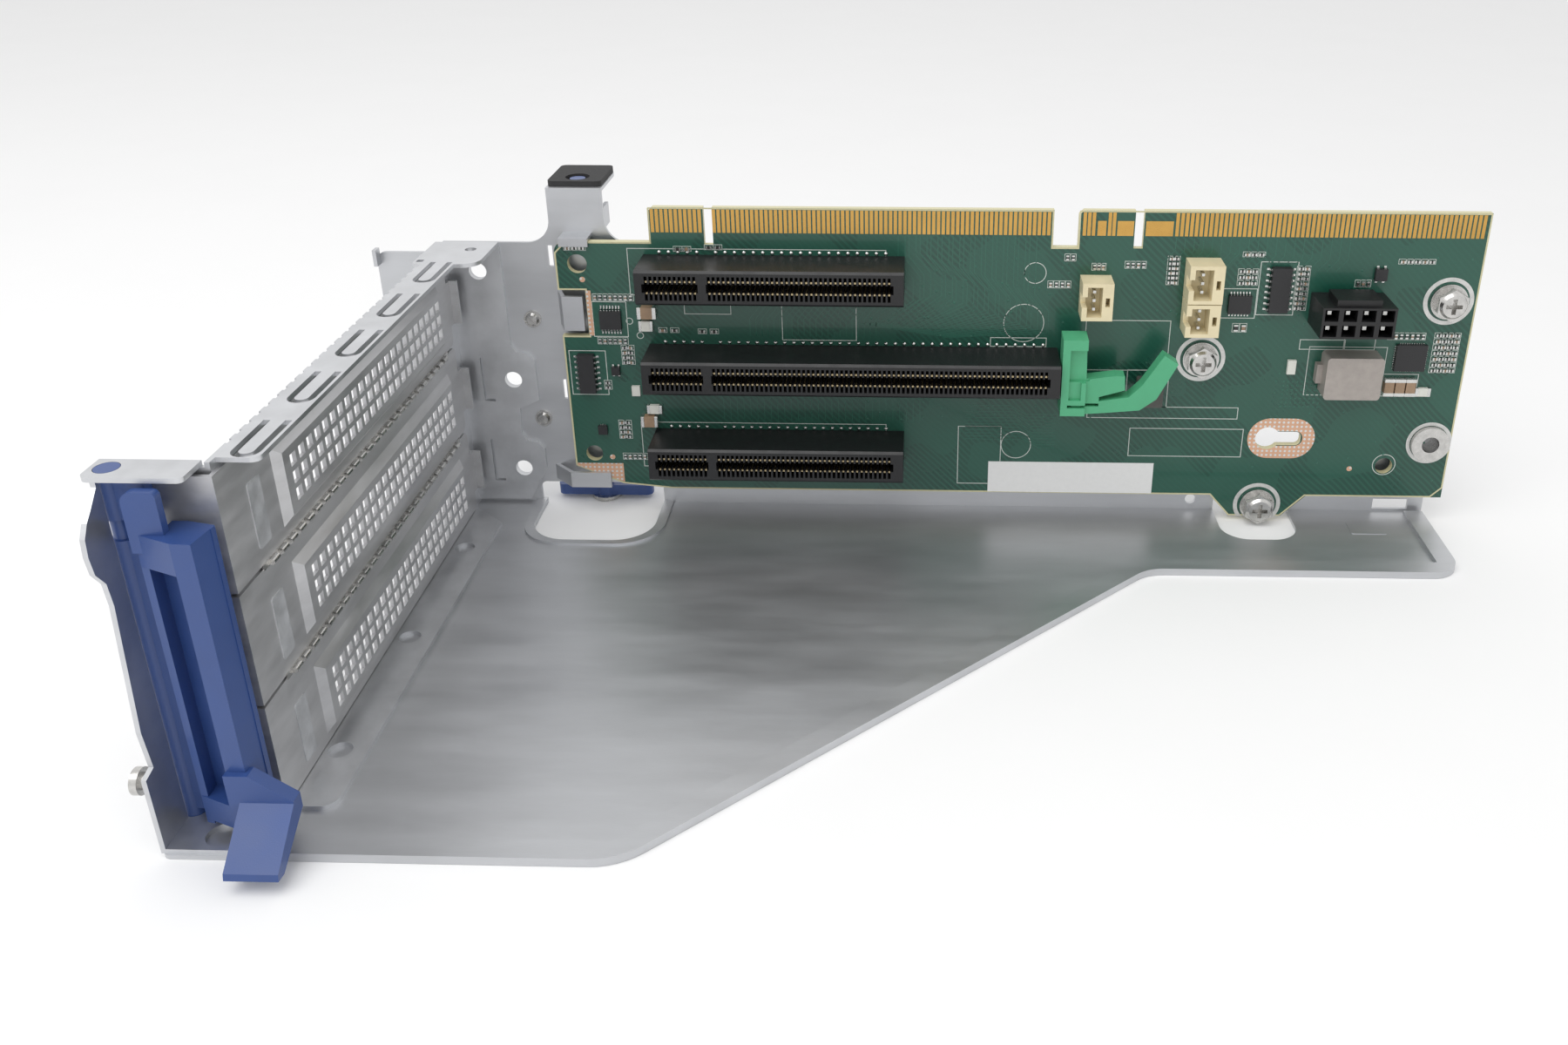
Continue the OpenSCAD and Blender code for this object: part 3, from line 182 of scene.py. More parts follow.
def piece(name, verts, faces, material, smooth=0):
    """One mesh object at the origin from corners and faces, riding on the cage. The first faces,
    as many as smooth says, are shaded smooth."""
    mesh = bpy.data.meshes.new(name)
    mesh.from_pydata(verts.tolist(), [], faces if isinstance(faces, list) else faces.tolist())
    mesh.update()
    mesh.polygons.foreach_set("use_smooth", np.arange(len(mesh.polygons)) < smooth)
    mesh.materials.append(material)
    obj = bpy.data.objects.new(name, mesh)
    bpy.context.scene.collection.objects.link(obj)
    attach(obj, "cage")
    return obj


BLOCK_FACES = np.array([[0, 2, 3, 1], [4, 5, 7, 6], [0, 1, 5, 4], [2, 6, 7, 3], [0, 4, 6, 2],
                        [1, 3, 7, 5]])


def blocks(boxes):
    """Corners and faces of many blocks: corner number k takes the low or the high bound of each
    axis by the three bits of k."""
    b = np.asarray(boxes, float)
    bits = (np.arange(8)[:, None] >> np.array([0, 1, 2])) & 1
    verts = np.where(bits[None, :, :] == 1, b[:, None, 3:6], b[:, None, 0:3]).reshape(-1, 3)
    faces = (BLOCK_FACES[None] + 8 * np.arange(len(b))[:, None, None]).reshape(-1, 4)
    return verts, faces


def on_board(rects, height, base=0.0):
    """Bounds of blocks on the card side of the board: rects are x0, z0, x1, z1 in board
    millimetres, and each block reaches from base to height, in metres out from the face."""
    r = np.asarray(rects, float)
    x0, z0 = place(r[:, 0], r[:, 1])
    x1, z1 = place(r[:, 2], r[:, 3])
    top = np.broadcast_to(-np.asarray(height, float), x0.shape)
    low = np.broadcast_to(-np.asarray(base, float), x0.shape)
    return np.stack([x0, top, z0, x1, low, z1], 1)


def turned(centres, profile, sides):
    """Closed turned shapes on the board face: the profile's radius and height, carried once round
    each centre; point (i, j) is centre + radius_i (cos a_j, sin a_j), height_i out of the board.
    Returns corners, faces and the number of wall faces, which come first."""
    c = np.asarray(centres, float)
    p = np.asarray(profile, float)
    a = np.linspace(0, 2 * math.pi, sides, endpoint=False)
    x, z = place(c[:, 0], c[:, 1])
    vx = x[:, None, None] + p[None, :, None, 0] * np.cos(a)
    vz = z[:, None, None] + p[None, :, None, 0] * np.sin(a)
    vy = np.broadcast_to(-p[None, :, None, 1], vx.shape)
    n, k = len(c), len(p)
    verts = np.stack([vx, vy, vz], -1).reshape(-1, 3)
    i, j = np.meshgrid(np.arange(k - 1), np.arange(sides), indexing="ij")
    m = (j + 1) % sides
    quads = np.stack([i * sides + j, i * sides + m, (i + 1) * sides + m, (i + 1) * sides + j], -1)
    shift = k * sides * np.arange(n)
    walls = (quads.reshape(-1, 4)[None] + shift[:, None, None]).reshape(-1, 4)
    ring = np.arange(sides)
    foot = ring[::-1][None] + shift[:, None]
    top = (ring + (k - 1) * sides)[None] + shift[:, None]
    return verts, walls.tolist() + foot.tolist() + top.tolist(), len(walls)


def ribbons(paths, width, height, closed=False):
    """Flat bands along paths on the board face. At each point the band's two edges lie half a
    width along the mitre of its two neighbours; the section is a low box."""
    verts, faces = [], []
    start = 0
    for path in paths:
        p = np.stack(place(*np.asarray(path, float).T), 1)
        if closed:
            before, after = np.roll(p, 1, 0), np.roll(p, -1, 0)
        else:
            before = np.vstack([2 * p[0] - p[1], p[:-1]])
            after = np.vstack([p[1:], 2 * p[-1] - p[-2]])
        d0 = (p - before) / np.linalg.norm(p - before, axis=1)[:, None]
        d1 = (after - p) / np.linalg.norm(after - p, axis=1)[:, None]
        n0 = np.stack([-d0[:, 1], d0[:, 0]], 1)
        n1 = np.stack([-d1[:, 1], d1[:, 0]], 1)
        mitre = (n0 + n1) / (1 + (n0 * n1).sum(1))[:, None] * width / 2
        left, right = p + mitre, p - mitre
        n = len(p)
        y = np.full(n, 0.0)
        top = np.full(n, -height)
        corners = ((left, y), (right, y), (right, top), (left, top))
        verts.append(np.stack([np.stack([c[:, 0], out, c[:, 1]], 1) for c, out in corners],
                              1).reshape(-1, 3))
        k = np.arange(n if closed else n - 1)
        m = (k + 1) % n
        for a, b in ((0, 1), (1, 2), (2, 3), (3, 0)):
            faces.append(np.stack([k * 4 + a, k * 4 + b, m * 4 + b, m * 4 + a], 1)[:, ::-1] + start)
        if not closed:
            faces.append(np.array([[0, 1, 2, 3], [3, 2, 1, 0]])
                         + np.array([[0], [4 * (n - 1)]]) + start)
        start += 4 * n
    return np.vstack(verts), np.vstack(faces)


def frames(rects):
    """Rectangles x0, z0, x1, z1 as closed paths."""
    return [[(a, b), (c, b), (c, d), (a, d)] for a, b, c, d in rects]


def circles(rows, sides=28):
    """Circles x, z, r as closed paths."""
    t = np.linspace(0, 2 * math.pi, sides, endpoint=False)
    return [np.stack([x + r * np.cos(t), z + r * np.sin(t)], 1) for x, z, r in rows]


# ---- finishes ----


def finish_of(name, colour, rough, metal=0.0, shade=0.75, grain=400.0, stretch=(1, 1, 1),
              bump=0.0, bump_grain=2000.0, spread=0.08, coat=0.0):
    """A finish on Object coordinates: two blended noises vary the colour between itself and a
    darker shade of it, the roughness by a spread, and the surface by a fine bump."""
    mat = bpy.data.materials.new(name)
    mat.use_nodes = True
    nt = mat.node_tree
    nt.nodes.clear()
    out = nt.nodes.new("ShaderNodeOutputMaterial")
    bsdf = nt.nodes.new("ShaderNodeBsdfPrincipled")
    nt.links.new(bsdf.outputs[0], out.inputs[0])
    coord = nt.nodes.new("ShaderNodeTexCoord")
    mapping = nt.nodes.new("ShaderNodeMapping")
    mapping.inputs["Scale"].default_value = stretch
    nt.links.new(coord.outputs["Object"], mapping.inputs[0])
    coarse = nt.nodes.new("ShaderNodeTexNoise")
    coarse.inputs["Scale"].default_value = grain
    coarse.inputs["Detail"].default_value = 5.0
    coarse.inputs["Roughness"].default_value = 0.6
    nt.links.new(mapping.outputs[0], coarse.inputs["Vector"])
    ramp = nt.nodes.new("ShaderNodeMapRange")
    ramp.inputs["From Min"].default_value = 0.3
    ramp.inputs["From Max"].default_value = 0.7
    nt.links.new(coarse.outputs[0], ramp.inputs["Value"])
    mix = nt.nodes.new("ShaderNodeMix")
    mix.data_type = "RGBA"
    mix.inputs["A"].default_value = (*[c * shade for c in colour], 1)
    mix.inputs["B"].default_value = (*colour, 1)
    nt.links.new(ramp.outputs[0], mix.inputs["Factor"])
    nt.links.new(mix.outputs["Result"], bsdf.inputs["Base Color"])
    gloss = nt.nodes.new("ShaderNodeMapRange")
    gloss.inputs["From Min"].default_value = 0.3
    gloss.inputs["From Max"].default_value = 0.7
    gloss.inputs["To Min"].default_value = max(rough - spread, 0.02)
    gloss.inputs["To Max"].default_value = min(rough + spread, 1.0)
    nt.links.new(coarse.outputs[0], gloss.inputs["Value"])
    nt.links.new(gloss.outputs[0], bsdf.inputs["Roughness"])
    bsdf.inputs["Metallic"].default_value = metal
    bsdf.inputs["Coat Weight"].default_value = coat
    if bump > 0:
        fine = nt.nodes.new("ShaderNodeTexNoise")
        fine.inputs["Scale"].default_value = bump_grain
        fine.inputs["Detail"].default_value = 3.0
        nt.links.new(mapping.outputs[0], fine.inputs["Vector"])
        node = nt.nodes.new("ShaderNodeBump")
        node.inputs["Strength"].default_value = bump
        node.inputs["Distance"].default_value = 0.05 * MM
        nt.links.new(fine.outputs[0], node.inputs["Height"])
        nt.links.new(node.outputs[0], bsdf.inputs["Normal"])
    return mat


def masked_over(mat, colour, rough, metal, build):
    """Lays a second colour over a finish, where build(node tree) gives a mask from 0 to 1."""
    nt = mat.node_tree
    bsdf = next(n for n in nt.nodes if n.type == "BSDF_PRINCIPLED")
    mask = build(nt)
    for socket, value in (("Base Color", (*colour, 1)), ("Roughness", rough), ("Metallic", metal)):
        target = bsdf.inputs[socket]
        mix = nt.nodes.new("ShaderNodeMix")
        mix.data_type = "RGBA" if socket == "Base Color" else "FLOAT"
        first, second = [i for i in mix.inputs if i.enabled and i.name in ("A", "B")]
        if target.links:
            nt.links.new(target.links[0].from_socket, first)
        else:
            first.default_value = target.default_value
        second.default_value = value
        nt.links.new(mask, next(i for i in mix.inputs if i.enabled and i.name == "Factor"))
        nt.links.new(next(o for o in mix.outputs if o.enabled), target)
    return mat


def math_node(nt, operation, a, b=None):
    """One Math node on sockets or numbers."""
    n = nt.nodes.new("ShaderNodeMath")
    n.operation = operation
    for i, value in enumerate((a, b)):
        if value is None:
            continue
        if isinstance(value, (int, float)):
            n.inputs[i].default_value = value
        else:
            nt.links.new(value, n.inputs[i])
    return n.outputs[0]


def side_faces(nt):
    """Mask of the faces that don't look along y: 1 where the normal's y is under a half."""
    coord = nt.nodes.new("ShaderNodeTexCoord")
    parts = nt.nodes.new("ShaderNodeSeparateXYZ")
    nt.links.new(coord.outputs["Normal"], parts.inputs[0])
    size = math_node(nt, "ABSOLUTE", parts.outputs[1])
    return math_node(nt, "LESS_THAN", size, 0.5)


def dot_grid(pitch, radius):
    """Mask of round dots on a square grid in x and z: distance to the grid point under a radius."""
    def build(nt):
        coord = nt.nodes.new("ShaderNodeTexCoord")
        parts = nt.nodes.new("ShaderNodeSeparateXYZ")
        nt.links.new(coord.outputs["Object"], parts.inputs[0])
        squares = []
        for axis in (0, 2):
            cell = math_node(nt, "DIVIDE", parts.outputs[axis], pitch)
            part = math_node(nt, "FRACT", cell)
            off = math_node(nt, "SUBTRACT", part, 0.5)
            squares.append(math_node(nt, "MULTIPLY", off, off))
        total = math_node(nt, "ADD", squares[0], squares[1])
        return math_node(nt, "LESS_THAN", total, (radius / pitch) ** 2)
    return build


def copper_pour(nt):
    """Mask of copper under the mask: broad smooth cells of a noise cut at its middle, crossed by
    fine slanted track lines."""
    coord = nt.nodes.new("ShaderNodeTexCoord")
    noise = nt.nodes.new("ShaderNodeTexNoise")
    noise.inputs["Scale"].default_value = 60.0
    noise.inputs["Detail"].default_value = 1.0
    nt.links.new(coord.outputs["Object"], noise.inputs["Vector"])
    area = math_node(nt, "GREATER_THAN", noise.outputs[0], 0.5)
    wave = nt.nodes.new("ShaderNodeTexWave")
    wave.inputs["Scale"].default_value = 420.0
    wave.inputs["Distortion"].default_value = 6.0
    wave.inputs["Detail"].default_value = 1.0
    wave.inputs["Detail Scale"].default_value = 0.12
    wave.bands_direction = "DIAGONAL"
    nt.links.new(coord.outputs["Object"], wave.inputs["Vector"])
    lines = math_node(nt, "GREATER_THAN", wave.outputs[1], 0.62)
    both = math_node(nt, "MULTIPLY", area, 0.35)
    return math_node(nt, "MAXIMUM", both, math_node(nt, "MULTIPLY", lines, 0.45))


MATERIALS = {}


def paint(nodes, mat):
    """Gives CAD nodes one material, in place of the plain one they came with."""
    for name in nodes:
        mesh = NODES[name].data
        mesh.materials.clear()
        mesh.materials.append(mat)


def dress(nodes, key, *args, **kwargs):
    """Makes a finish and gives it to CAD nodes."""
    MATERIALS[key] = finish_of(key, *args, **kwargs)
    paint(nodes, MATERIALS[key])
    return MATERIALS[key]


# ---- operators ----


class RISER_OT_metal(bpy.types.Operator):
    """Finishes of the sheet metal, the fasteners and the plated contacts"""

    bl_idname = "riser.metal"
    bl_label = "Metal finishes"

    def execute(self, context):
        m = look("riser_metal")
        r = m.roughness
        dress(["cage_shell"], "galvanised sheet", m.plate, r, 0.85, shade=0.86, grain=55.0,
              stretch=(0.5, 2.2, 2.2), bump=0.22, bump_grain=1400.0, spread=0.05)
        dress(["slot_frame"], "bright galvanised sheet", m.frame, r - 0.04, 0.85, shade=0.82,
              grain=120.0, bump=0.25, bump_grain=1600.0)
        dress(["cover_top", "cover_middle", "cover_bottom"], "zinc plated sheet", m.cover, r, 0.75,
              shade=0.80, grain=160.0, stretch=(1, 0.4, 2), bump=0.25, bump_grain=1800.0)
        dress(["cover_pads"], "coined sheet", m.frame, r + 0.1, 0.7, grain=300.0, bump=0.2)
        dress(["emi_strips", "latch_clip", "latch_spring"], "bright strip", m.plated, 0.26, 1.0,
              shade=0.7, grain=500.0)
        dress(["press_studs", "side_stud", "standoffs", "board_screws", "insert_nut", "latch_head",
               "latch_washer"], "nickel plate", m.plated, 0.24, 1.0, shade=0.72, grain=700.0,
              bump=0.15, bump_grain=3000.0)
        dress(["edge_contacts"], "gold plate", m.gold, 0.30, 1.0, shade=0.82, grain=260.0)
        dress(["contacts_top", "contacts_middle", "contacts_bottom"], "contact spring",
              (0.62, 0.50, 0.30), 0.34, 1.0, shade=0.6, grain=900.0)
        dress(["header_pins", "power_pins"], "tinned pin", m.tin, 0.30, 1.0, grain=800.0)
        dress(["board_pads"], "tinned ring", m.tin, 0.45, 0.5, grain=600.0, bump=0.2)
        copper = dress(["copper_pads"], "bare copper", m.copper, 0.42, 0.35, shade=0.85,
                       grain=300.0, bump=0.2)
        masked_over(copper, m.tin, 0.3, 0.8, dot_grid(1.0 * MM, 0.27 * MM))
        MATERIALS["solder"] = finish_of("solder", m.tin, 0.26, 1.0, shade=0.8, grain=900.0)
        return {"FINISHED"}


class RISER_OT_mouldings(bpy.types.Operator):
    """Finishes of the mouldings, the small components and the pad"""

    bl_idname = "riser.mouldings"
    bl_label = "Moulded finishes"

    def execute(self, context):
        p = look("riser_moulding")
        g = p.gloss
        dress(["retainer_door", "latch_handle"], "blue moulding", p.blue, g, shade=0.88,
              grain=90.0, bump=0.35, bump_grain=5200.0, coat=0.15)
        dress(["card_lock", "lock_base"], "green moulding", p.green, g + 0.04, shade=0.90,
              grain=140.0, bump=0.3, bump_grain=5200.0)
        dress(["slot_top", "slot_middle", "slot_bottom", "power_socket"], "black moulding",
              p.black, 0.40, shade=0.7, grain=260.0, bump=0.4, bump_grain=5200.0)
        dress(["fan_headers"], "ivory moulding", p.ivory, 0.42, shade=0.90, grain=260.0,
              bump=0.25, bump_grain=5200.0)
        dress(["board_chips"], "chip epoxy", (0.020, 0.020, 0.022), 0.48, shade=0.7, grain=500.0,
              bump=0.5, bump_grain=6500.0)
        dress(["power_inductor"], "pressed ferrite", (0.42, 0.38, 0.35), 0.50, 0.25, shade=0.82,
              grain=500.0, bump=0.6, bump_grain=4200.0)
        dress(["small_inductor"], "dark ferrite", (0.10, 0.10, 0.09), 0.50, shade=0.7, grain=500.0,
              bump=0.6, bump_grain=4200.0)
        dress(["board_caps"], "tan ceramic", (0.36, 0.24, 0.15), 0.42, shade=0.8, grain=700.0,
              bump=0.2)
        dress(["board_fuses"], "white ceramic", (0.72, 0.72, 0.66), 0.45, shade=0.92, grain=700.0,
              bump=0.2)
        dress(["board_label"], "label stock", (0.80, 0.80, 0.79), 0.55, shade=0.96, grain=900.0,
              bump=0.25, bump_grain=3800.0)
        dress(["arm_pad"], "black rubber sheet", (0.030, 0.030, 0.031), 0.75, shade=0.55,
              grain=1400.0, bump=0.9, bump_grain=2600.0)
        return {"FINISHED"}


class RISER_OT_board(bpy.types.Operator):
    """Green board with its bare edge band and covered copper"""

    bl_idname = "riser.board"
    bl_label = "Board finish"

    def execute(self, context):
        b = look("riser_board")
        mask = dress(["riser_board"], "solder mask", b.mask, 0.30, shade=0.78, grain=45.0,
                     spread=0.06, bump=0.12, bump_grain=1500.0, coat=0.25)
        masked_over(mask, b.trace, 0.30, 0.0, copper_pour)
        masked_over(mask, b.laminate, 0.6, 0.0, side_faces)
        MATERIALS["laminate"] = finish_of("laminate", b.laminate, 0.6, shade=0.85, grain=900.0,
                                          bump=0.3)
        MATERIALS["ink"] = finish_of("printed ink", b.ink, 0.55, shade=0.85, grain=1200.0)
        MATERIALS["track"] = finish_of("covered copper", b.trace, 0.30, shade=0.85, grain=200.0,
                                       coat=0.25)
        # half a band, the board's top and the tongues' tip above its lower edge
        h = b.edge / MM / 2
        top, tip = 58.4, 66.0
        paths = [
            [(20.5 + h, tip - h), (20.5 + h, top - h), (2.5, top - h), (h, top - 2.5),
             (h, 47.6 + h),
             (5.9 + h, 47.6 + h), (5.9 + h, 37.1 - h), (h, 37.1 - h), (h, 5.5 + h),
             (10.6, 1.1 + h), (21.6, h), (143.7, h), (148.3, h - 5.2), (159.8, h - 5.2),
             (164.9, h), (192.9, h), (195.4 - h, 2.5), (195.4 - h, tip - h)],
            [(105.4 - h, tip - h), (105.4 - h, top - 0.4 - h), (110.6 + h, top - 0.4 - h),
             (110.6 + h, tip - h)],
        ]
        verts, faces = ribbons(paths, b.edge, BAND_T)
        piece("board_edge_band", verts, faces, MATERIALS["laminate"])
        bevel = [[20.6, 65.65, 105.3, 65.98], [110.7, 65.65, 195.3, 65.98]]
        verts, faces = blocks(on_board(bevel, INK_T))
        piece("tongue_bevel", verts, faces, MATERIALS["laminate"])
        return {"FINISHED"}


class RISER_OT_tracks(bpy.types.Operator):
    """Raised lines of covered copper between the slots and the gold edge"""

    bl_idname = "riser.tracks"
    bl_label = "Board tracks"

    def execute(self, context):
        paths = []
        # from the gold edge down past the end of the upper slot, in bundles of slanted pairs
        for i in range(26):
            x = 73 + i * 1.15 + 0.3 * (i % 2)
            drop = 56.5 - 0.42 * abs(i - 4)
            left, low = x - 0.4 * i, 40.8 - 0.12 * i
            paths.append([(x, 60.2), (x, drop), (x + 3.2, drop - 4.0), (x + 3.2, drop - 9.0),
                          (left - 4.0, low), (left - 8.0, low - 0.4)])
        # from the upper slot to the middle one
        for i in range(22):
            x = 44 + i * 1.3
            paths.append([(x, 47.6), (x, 45.2), (x - 3.0, 41.4), (x - 3.0, 37.4)])
        # from the middle slot to the lower one
        for i in range(30):
            x = 32 + i * 1.5
            paths.append([(x, 27.2), (x, 25.4), (x + 2.4, 22.4), (x + 2.4, 17.4)])
        # along the second tongue and down the right half
        for i in range(20):
            x = 131 + i * 1.9
            paths.append([(x, 60.2), (x, 57.6 - 0.1 * i), (x - 2.2, 55.0 - 0.1 * i)])
        for i in range(12):
            z = 21.6 - i * 0.75
            paths.append([(88, z), (98 + i * 0.3, z), (101 + i * 0.3, z - 2.0), (108, z - 2.0)])
        verts, faces = ribbons(paths, TRACK_W, INK_T)
        piece("board_tracks", verts, faces, MATERIALS["track"])
        rng = np.random.default_rng(7)
        grid = np.stack(np.meshgrid(np.arange(157, 166, 1.0), np.arange(22, 28.5, 1.0)), -1)
        vias = np.vstack([
            np.stack([rng.uniform(66, 150, 150), rng.uniform(17, 57, 150)], 1),
            grid.reshape(-1, 2),
            np.stack([rng.uniform(150, 193, 60), rng.uniform(2, 58, 60)], 1),
        ])
        rim = [(0.26 * MM, 0.0), (0.24 * MM, 0.02 * MM), (0.10 * MM, 0.025 * MM)]
        verts, faces, walls = turned(vias, rim, 8)
        piece("board_vias", verts, faces, MATERIALS["track"], walls)
        return {"FINISHED"}


PASSIVES = (
    # first x, first z, columns, rows, pitch x, pitch z, width, height
    (7.9, 46.0, 8, 1, 1.1, 1.0, 0.5, 1.0),
    (8.2, 36.0, 6, 1, 1.1, 1.0, 0.5, 1.0),
    (13.4, 31.0, 2, 4, 1.2, 1.15, 1.0, 0.5),
    (9.0, 25.0, 1, 2, 1.0, 1.1, 1.0, 0.5),
    (11.4, 13.0, 2, 4, 1.2, 1.15, 1.0, 0.5),
    (11.5, 8.0, 5, 1, 1.1, 1.0, 0.5, 1.0),
    (108.6, 55.8, 2, 1, 1.2, 1.0, 0.5, 1.0),
    (105.3, 49.8, 4, 1, 1.25, 1.0, 0.5, 1.0),
    (114.4, 53.8, 3, 1, 0.9, 1.0, 0.5, 1.0),
    (121.3, 54.3, 4, 1, 1.1, 1.0, 0.5, 1.0),
    (130.4, 50.5, 2, 6, 1.0, 1.05, 0.9, 0.5),
    (145.4, 50.5, 3, 3, 1.3, 1.3, 1.0, 0.5),
    (145.3, 40.4, 2, 1, 1.6, 1.0, 0.8, 1.4),
    (157.6, 45.0, 2, 9, 1.2, 1.1, 1.0, 0.5),
    (188.6, 31.0, 4, 7, 1.3, 1.35, 1.0, 0.55),
    (169.8, 50.6, 3, 1, 1.1, 1.0, 0.5, 1.0),
    (178.4, 38.8, 7, 1, 1.15, 1.0, 0.5, 1.0),
    (187.6, 26.0, 1, 1, 1.0, 1.0, 1.0, 0.5),
    (22.6, 45.3, 3, 1, 1.3, 1.0, 1.0, 0.5),
    (30.6, 38.4, 2, 1, 2.6, 1.0, 1.2, 0.55),
    (22.0, 38.6, 2, 1, 2.6, 1.0, 1.2, 0.55),
    (26.4, 57.0, 2, 1, 1.9, 1.0, 1.2, 0.55),
    (33.0, 57.4, 2, 1, 1.9, 1.0, 1.2, 0.55),
    (3.0, 57.0, 3, 1, 1.5, 1.0, 1.0, 0.5),
    (146.0, 56.8, 3, 1, 1.5, 1.0, 1.0, 0.5),
    (178.5, 55.5, 5, 1, 1.5, 1.0, 1.0, 0.5),
)


class RISER_OT_passives(bpy.types.Operator):
    """Small resistors and capacitors with their soldered ends and printed outlines"""

    bl_idname = "riser.passives"
    bl_label = "Resistors and capacitors"

    def execute(self, context):
        rows = []
        for x, z, nx, nz, px, pz, w, h in PASSIVES:
            gx, gz = np.meshgrid(x + px * np.arange(nx), z + pz * np.arange(nz))
            rows.append(np.stack([gx.ravel(), gz.ravel(), np.full(gx.size, w),
                                  np.full(gx.size, h)], 1))
        r = np.vstack(rows)
        lo, hi = r[:, :2] - r[:, 2:] / 2, r[:, :2] + r[:, 2:] / 2
        body = np.hstack([lo, hi])
        tall = (r[:, 3] > r[:, 2])[:, None]
        ends = []
        for side in (0, 1):
            e = body.copy()
            cut = 0.27
            if side == 0:
                e[:, 2] = np.where(tall[:, 0], e[:, 2], e[:, 0] + cut)
                e[:, 3] = np.where(tall[:, 0], e[:, 1] + cut, e[:, 3])
            else:
                e[:, 0] = np.where(tall[:, 0], e[:, 0], e[:, 2] - cut)
                e[:, 1] = np.where(tall[:, 0], e[:, 3] - cut, e[:, 1])
            e[:, :2] -= 0.04
            e[:, 2:] += 0.04
            ends.append(e)
        dark = finish_of("resistor body", (0.030, 0.028, 0.026), 0.4, shade=0.7, grain=2000.0)
        tan = finish_of("capacitor body", (0.30, 0.20, 0.13), 0.4, shade=0.8, grain=2000.0)
        pick = np.arange(len(body)) % 3 == 0
        verts, faces = blocks(on_board(body[~pick], 0.33 * MM))
        piece("resistor_bodies", verts, faces, dark)
        verts, faces = blocks(on_board(body[pick], 0.42 * MM))
        piece("capacitor_bodies", verts, faces, tan)
        heights = np.tile(np.where(pick, 0.45, 0.36), 2) * MM
        verts, faces = blocks(on_board(np.vstack(ends), heights))
        piece("passive_ends", verts, faces, MATERIALS["solder"])
        grow = np.array([-0.32, -0.28, 0.32, 0.28])
        line = look("riser_board").line
        verts, faces = ribbons(frames(body + grow), line * 0.7, INK_T, closed=True)
        piece("passive_outlines", verts, faces, MATERIALS["ink"])
        return {"FINISHED"}


class RISER_OT_chip_leads(bpy.types.Operator):
    """Bent leads of the chips, and the metal ends of the larger capacitors and fuses"""

    bl_idname = "riser.chip_leads"
    bl_label = "Chip leads"

    def execute(self, context):
        # chip x0, z0, x1, z1, leads a side, pitch, lead width, foot length, across x, height
        chips = (
            (151.5, 44.3, 155.5, 54.2, 8, 1.27, 0.42, 1.0, True, 0.8),
            (3.0, 24.0, 6.5, 33.0, 7, 1.27, 0.42, 1.0, True, 0.8),
            (143.1, 43.9, 147.9, 47.8, 7, 0.65, 0.28, 0.8, False, 0.5),
            (8.6, 38.9, 13.2, 43.0, 7, 0.65, 0.28, 1.2, False, 0.5),
            (180.0, 31.0, 186.5, 37.0, 11, 0.5, 0.24, 0.3, False, 0.18),
            (180.0, 31.0, 186.5, 37.0, 11, 0.5, 0.24, 0.3, True, 0.18),
            (6.0, 13.7, 8.0, 15.7, 3, 0.5, 0.24, 0.3, False, 0.18),
            (173.0, 51.5, 175.5, 54.0, 2, 1.5, 0.5, 0.6, False, 0.5),
            (10.2, 28.2, 12.0, 30.0, 2, 1.2, 0.4, 0.5, False, 0.5),
        )
        rects, tops, bases = [], [], []
        for x0, z0, x1, z1, n, pitch, w, foot, across, h in chips:
            mid = (np.arange(n) - (n - 1) / 2) * pitch
            c = mid + ((z0 + z1) / 2 if across else (x0 + x1) / 2)
            lo, hi = (x0, x1) if across else (z0, z1)
            for a, b, t, base in ((hi - 0.1, hi + foot * 0.45, h, h * 0.72),
                                  (hi + foot * 0.25, hi + foot * 0.5, h, 0.0),
                                  (hi + foot * 0.4, hi + foot, 0.2, 0.0),
                                  (lo - foot * 0.45, lo + 0.1, h, h * 0.72),
                                  (lo - foot * 0.5, lo - foot * 0.25, h, 0.0),
                                  (lo - foot, lo - foot * 0.4, 0.2, 0.0)):
                u0, u1 = c - w / 2, c + w / 2
                v0, v1 = np.full(n, a), np.full(n, b)
                rects.append(np.stack([v0, u0, v1, u1] if across else [u0, v0, u1, v1], 1))
                tops.append(np.full(n, t))
                bases.append(np.full(n, base))
        r = np.vstack(rects)
        verts, faces = blocks(on_board(r, np.concatenate(tops) * MM, np.concatenate(bases) * MM))
        piece("chip_leads", verts, faces, MATERIALS["solder"])
        # rounded metal ends: x0, z0, x1, z1, height, ends left and right or below and above
        parts = ((178.3, 25.4, 180.5, 29.4, 1.6, False), (180.6, 25.4, 182.8, 29.4, 1.6, False),
                 (182.9, 25.4, 185.1, 29.4, 1.6, False), (17, 41.7, 21, 44.3, 1.8, True),
                 (16, 16.1, 19.7, 18.6, 1.8, True), (185.4, 25.1, 188.7, 27, 0.8, True),
                 (17, 38.6, 20, 40.9, 1.0, True), (17.4, 19.0, 20.7, 21.0, 1.0, True))
        ends, heights = [], []
        for x0, z0, x1, z1, h, wide in parts:
            g = 0.05
            if wide:
                e = (x1 - x0) * 0.2
                ends += [(x0 - g, z0 - g, x0 + e, z1 + g), (x1 - e, z0 - g, x1 + g, z1 + g)]
            else:
                e = (z1 - z0) * 0.2
                ends += [(x0 - g, z0 - g, x1 + g, z0 + e), (x0 - g, z1 - e, x1 + g, z1 + g)]
            heights += [h + g, h + g]
        verts, faces = blocks(on_board(ends, np.array(heights) * MM))
        obj = piece("component_ends", verts, faces, MATERIALS["solder"])
        bevel = obj.modifiers.new("rounded", "BEVEL")
        bevel.width = 0.12 * MM
        bevel.segments = 2
        return {"FINISHED"}


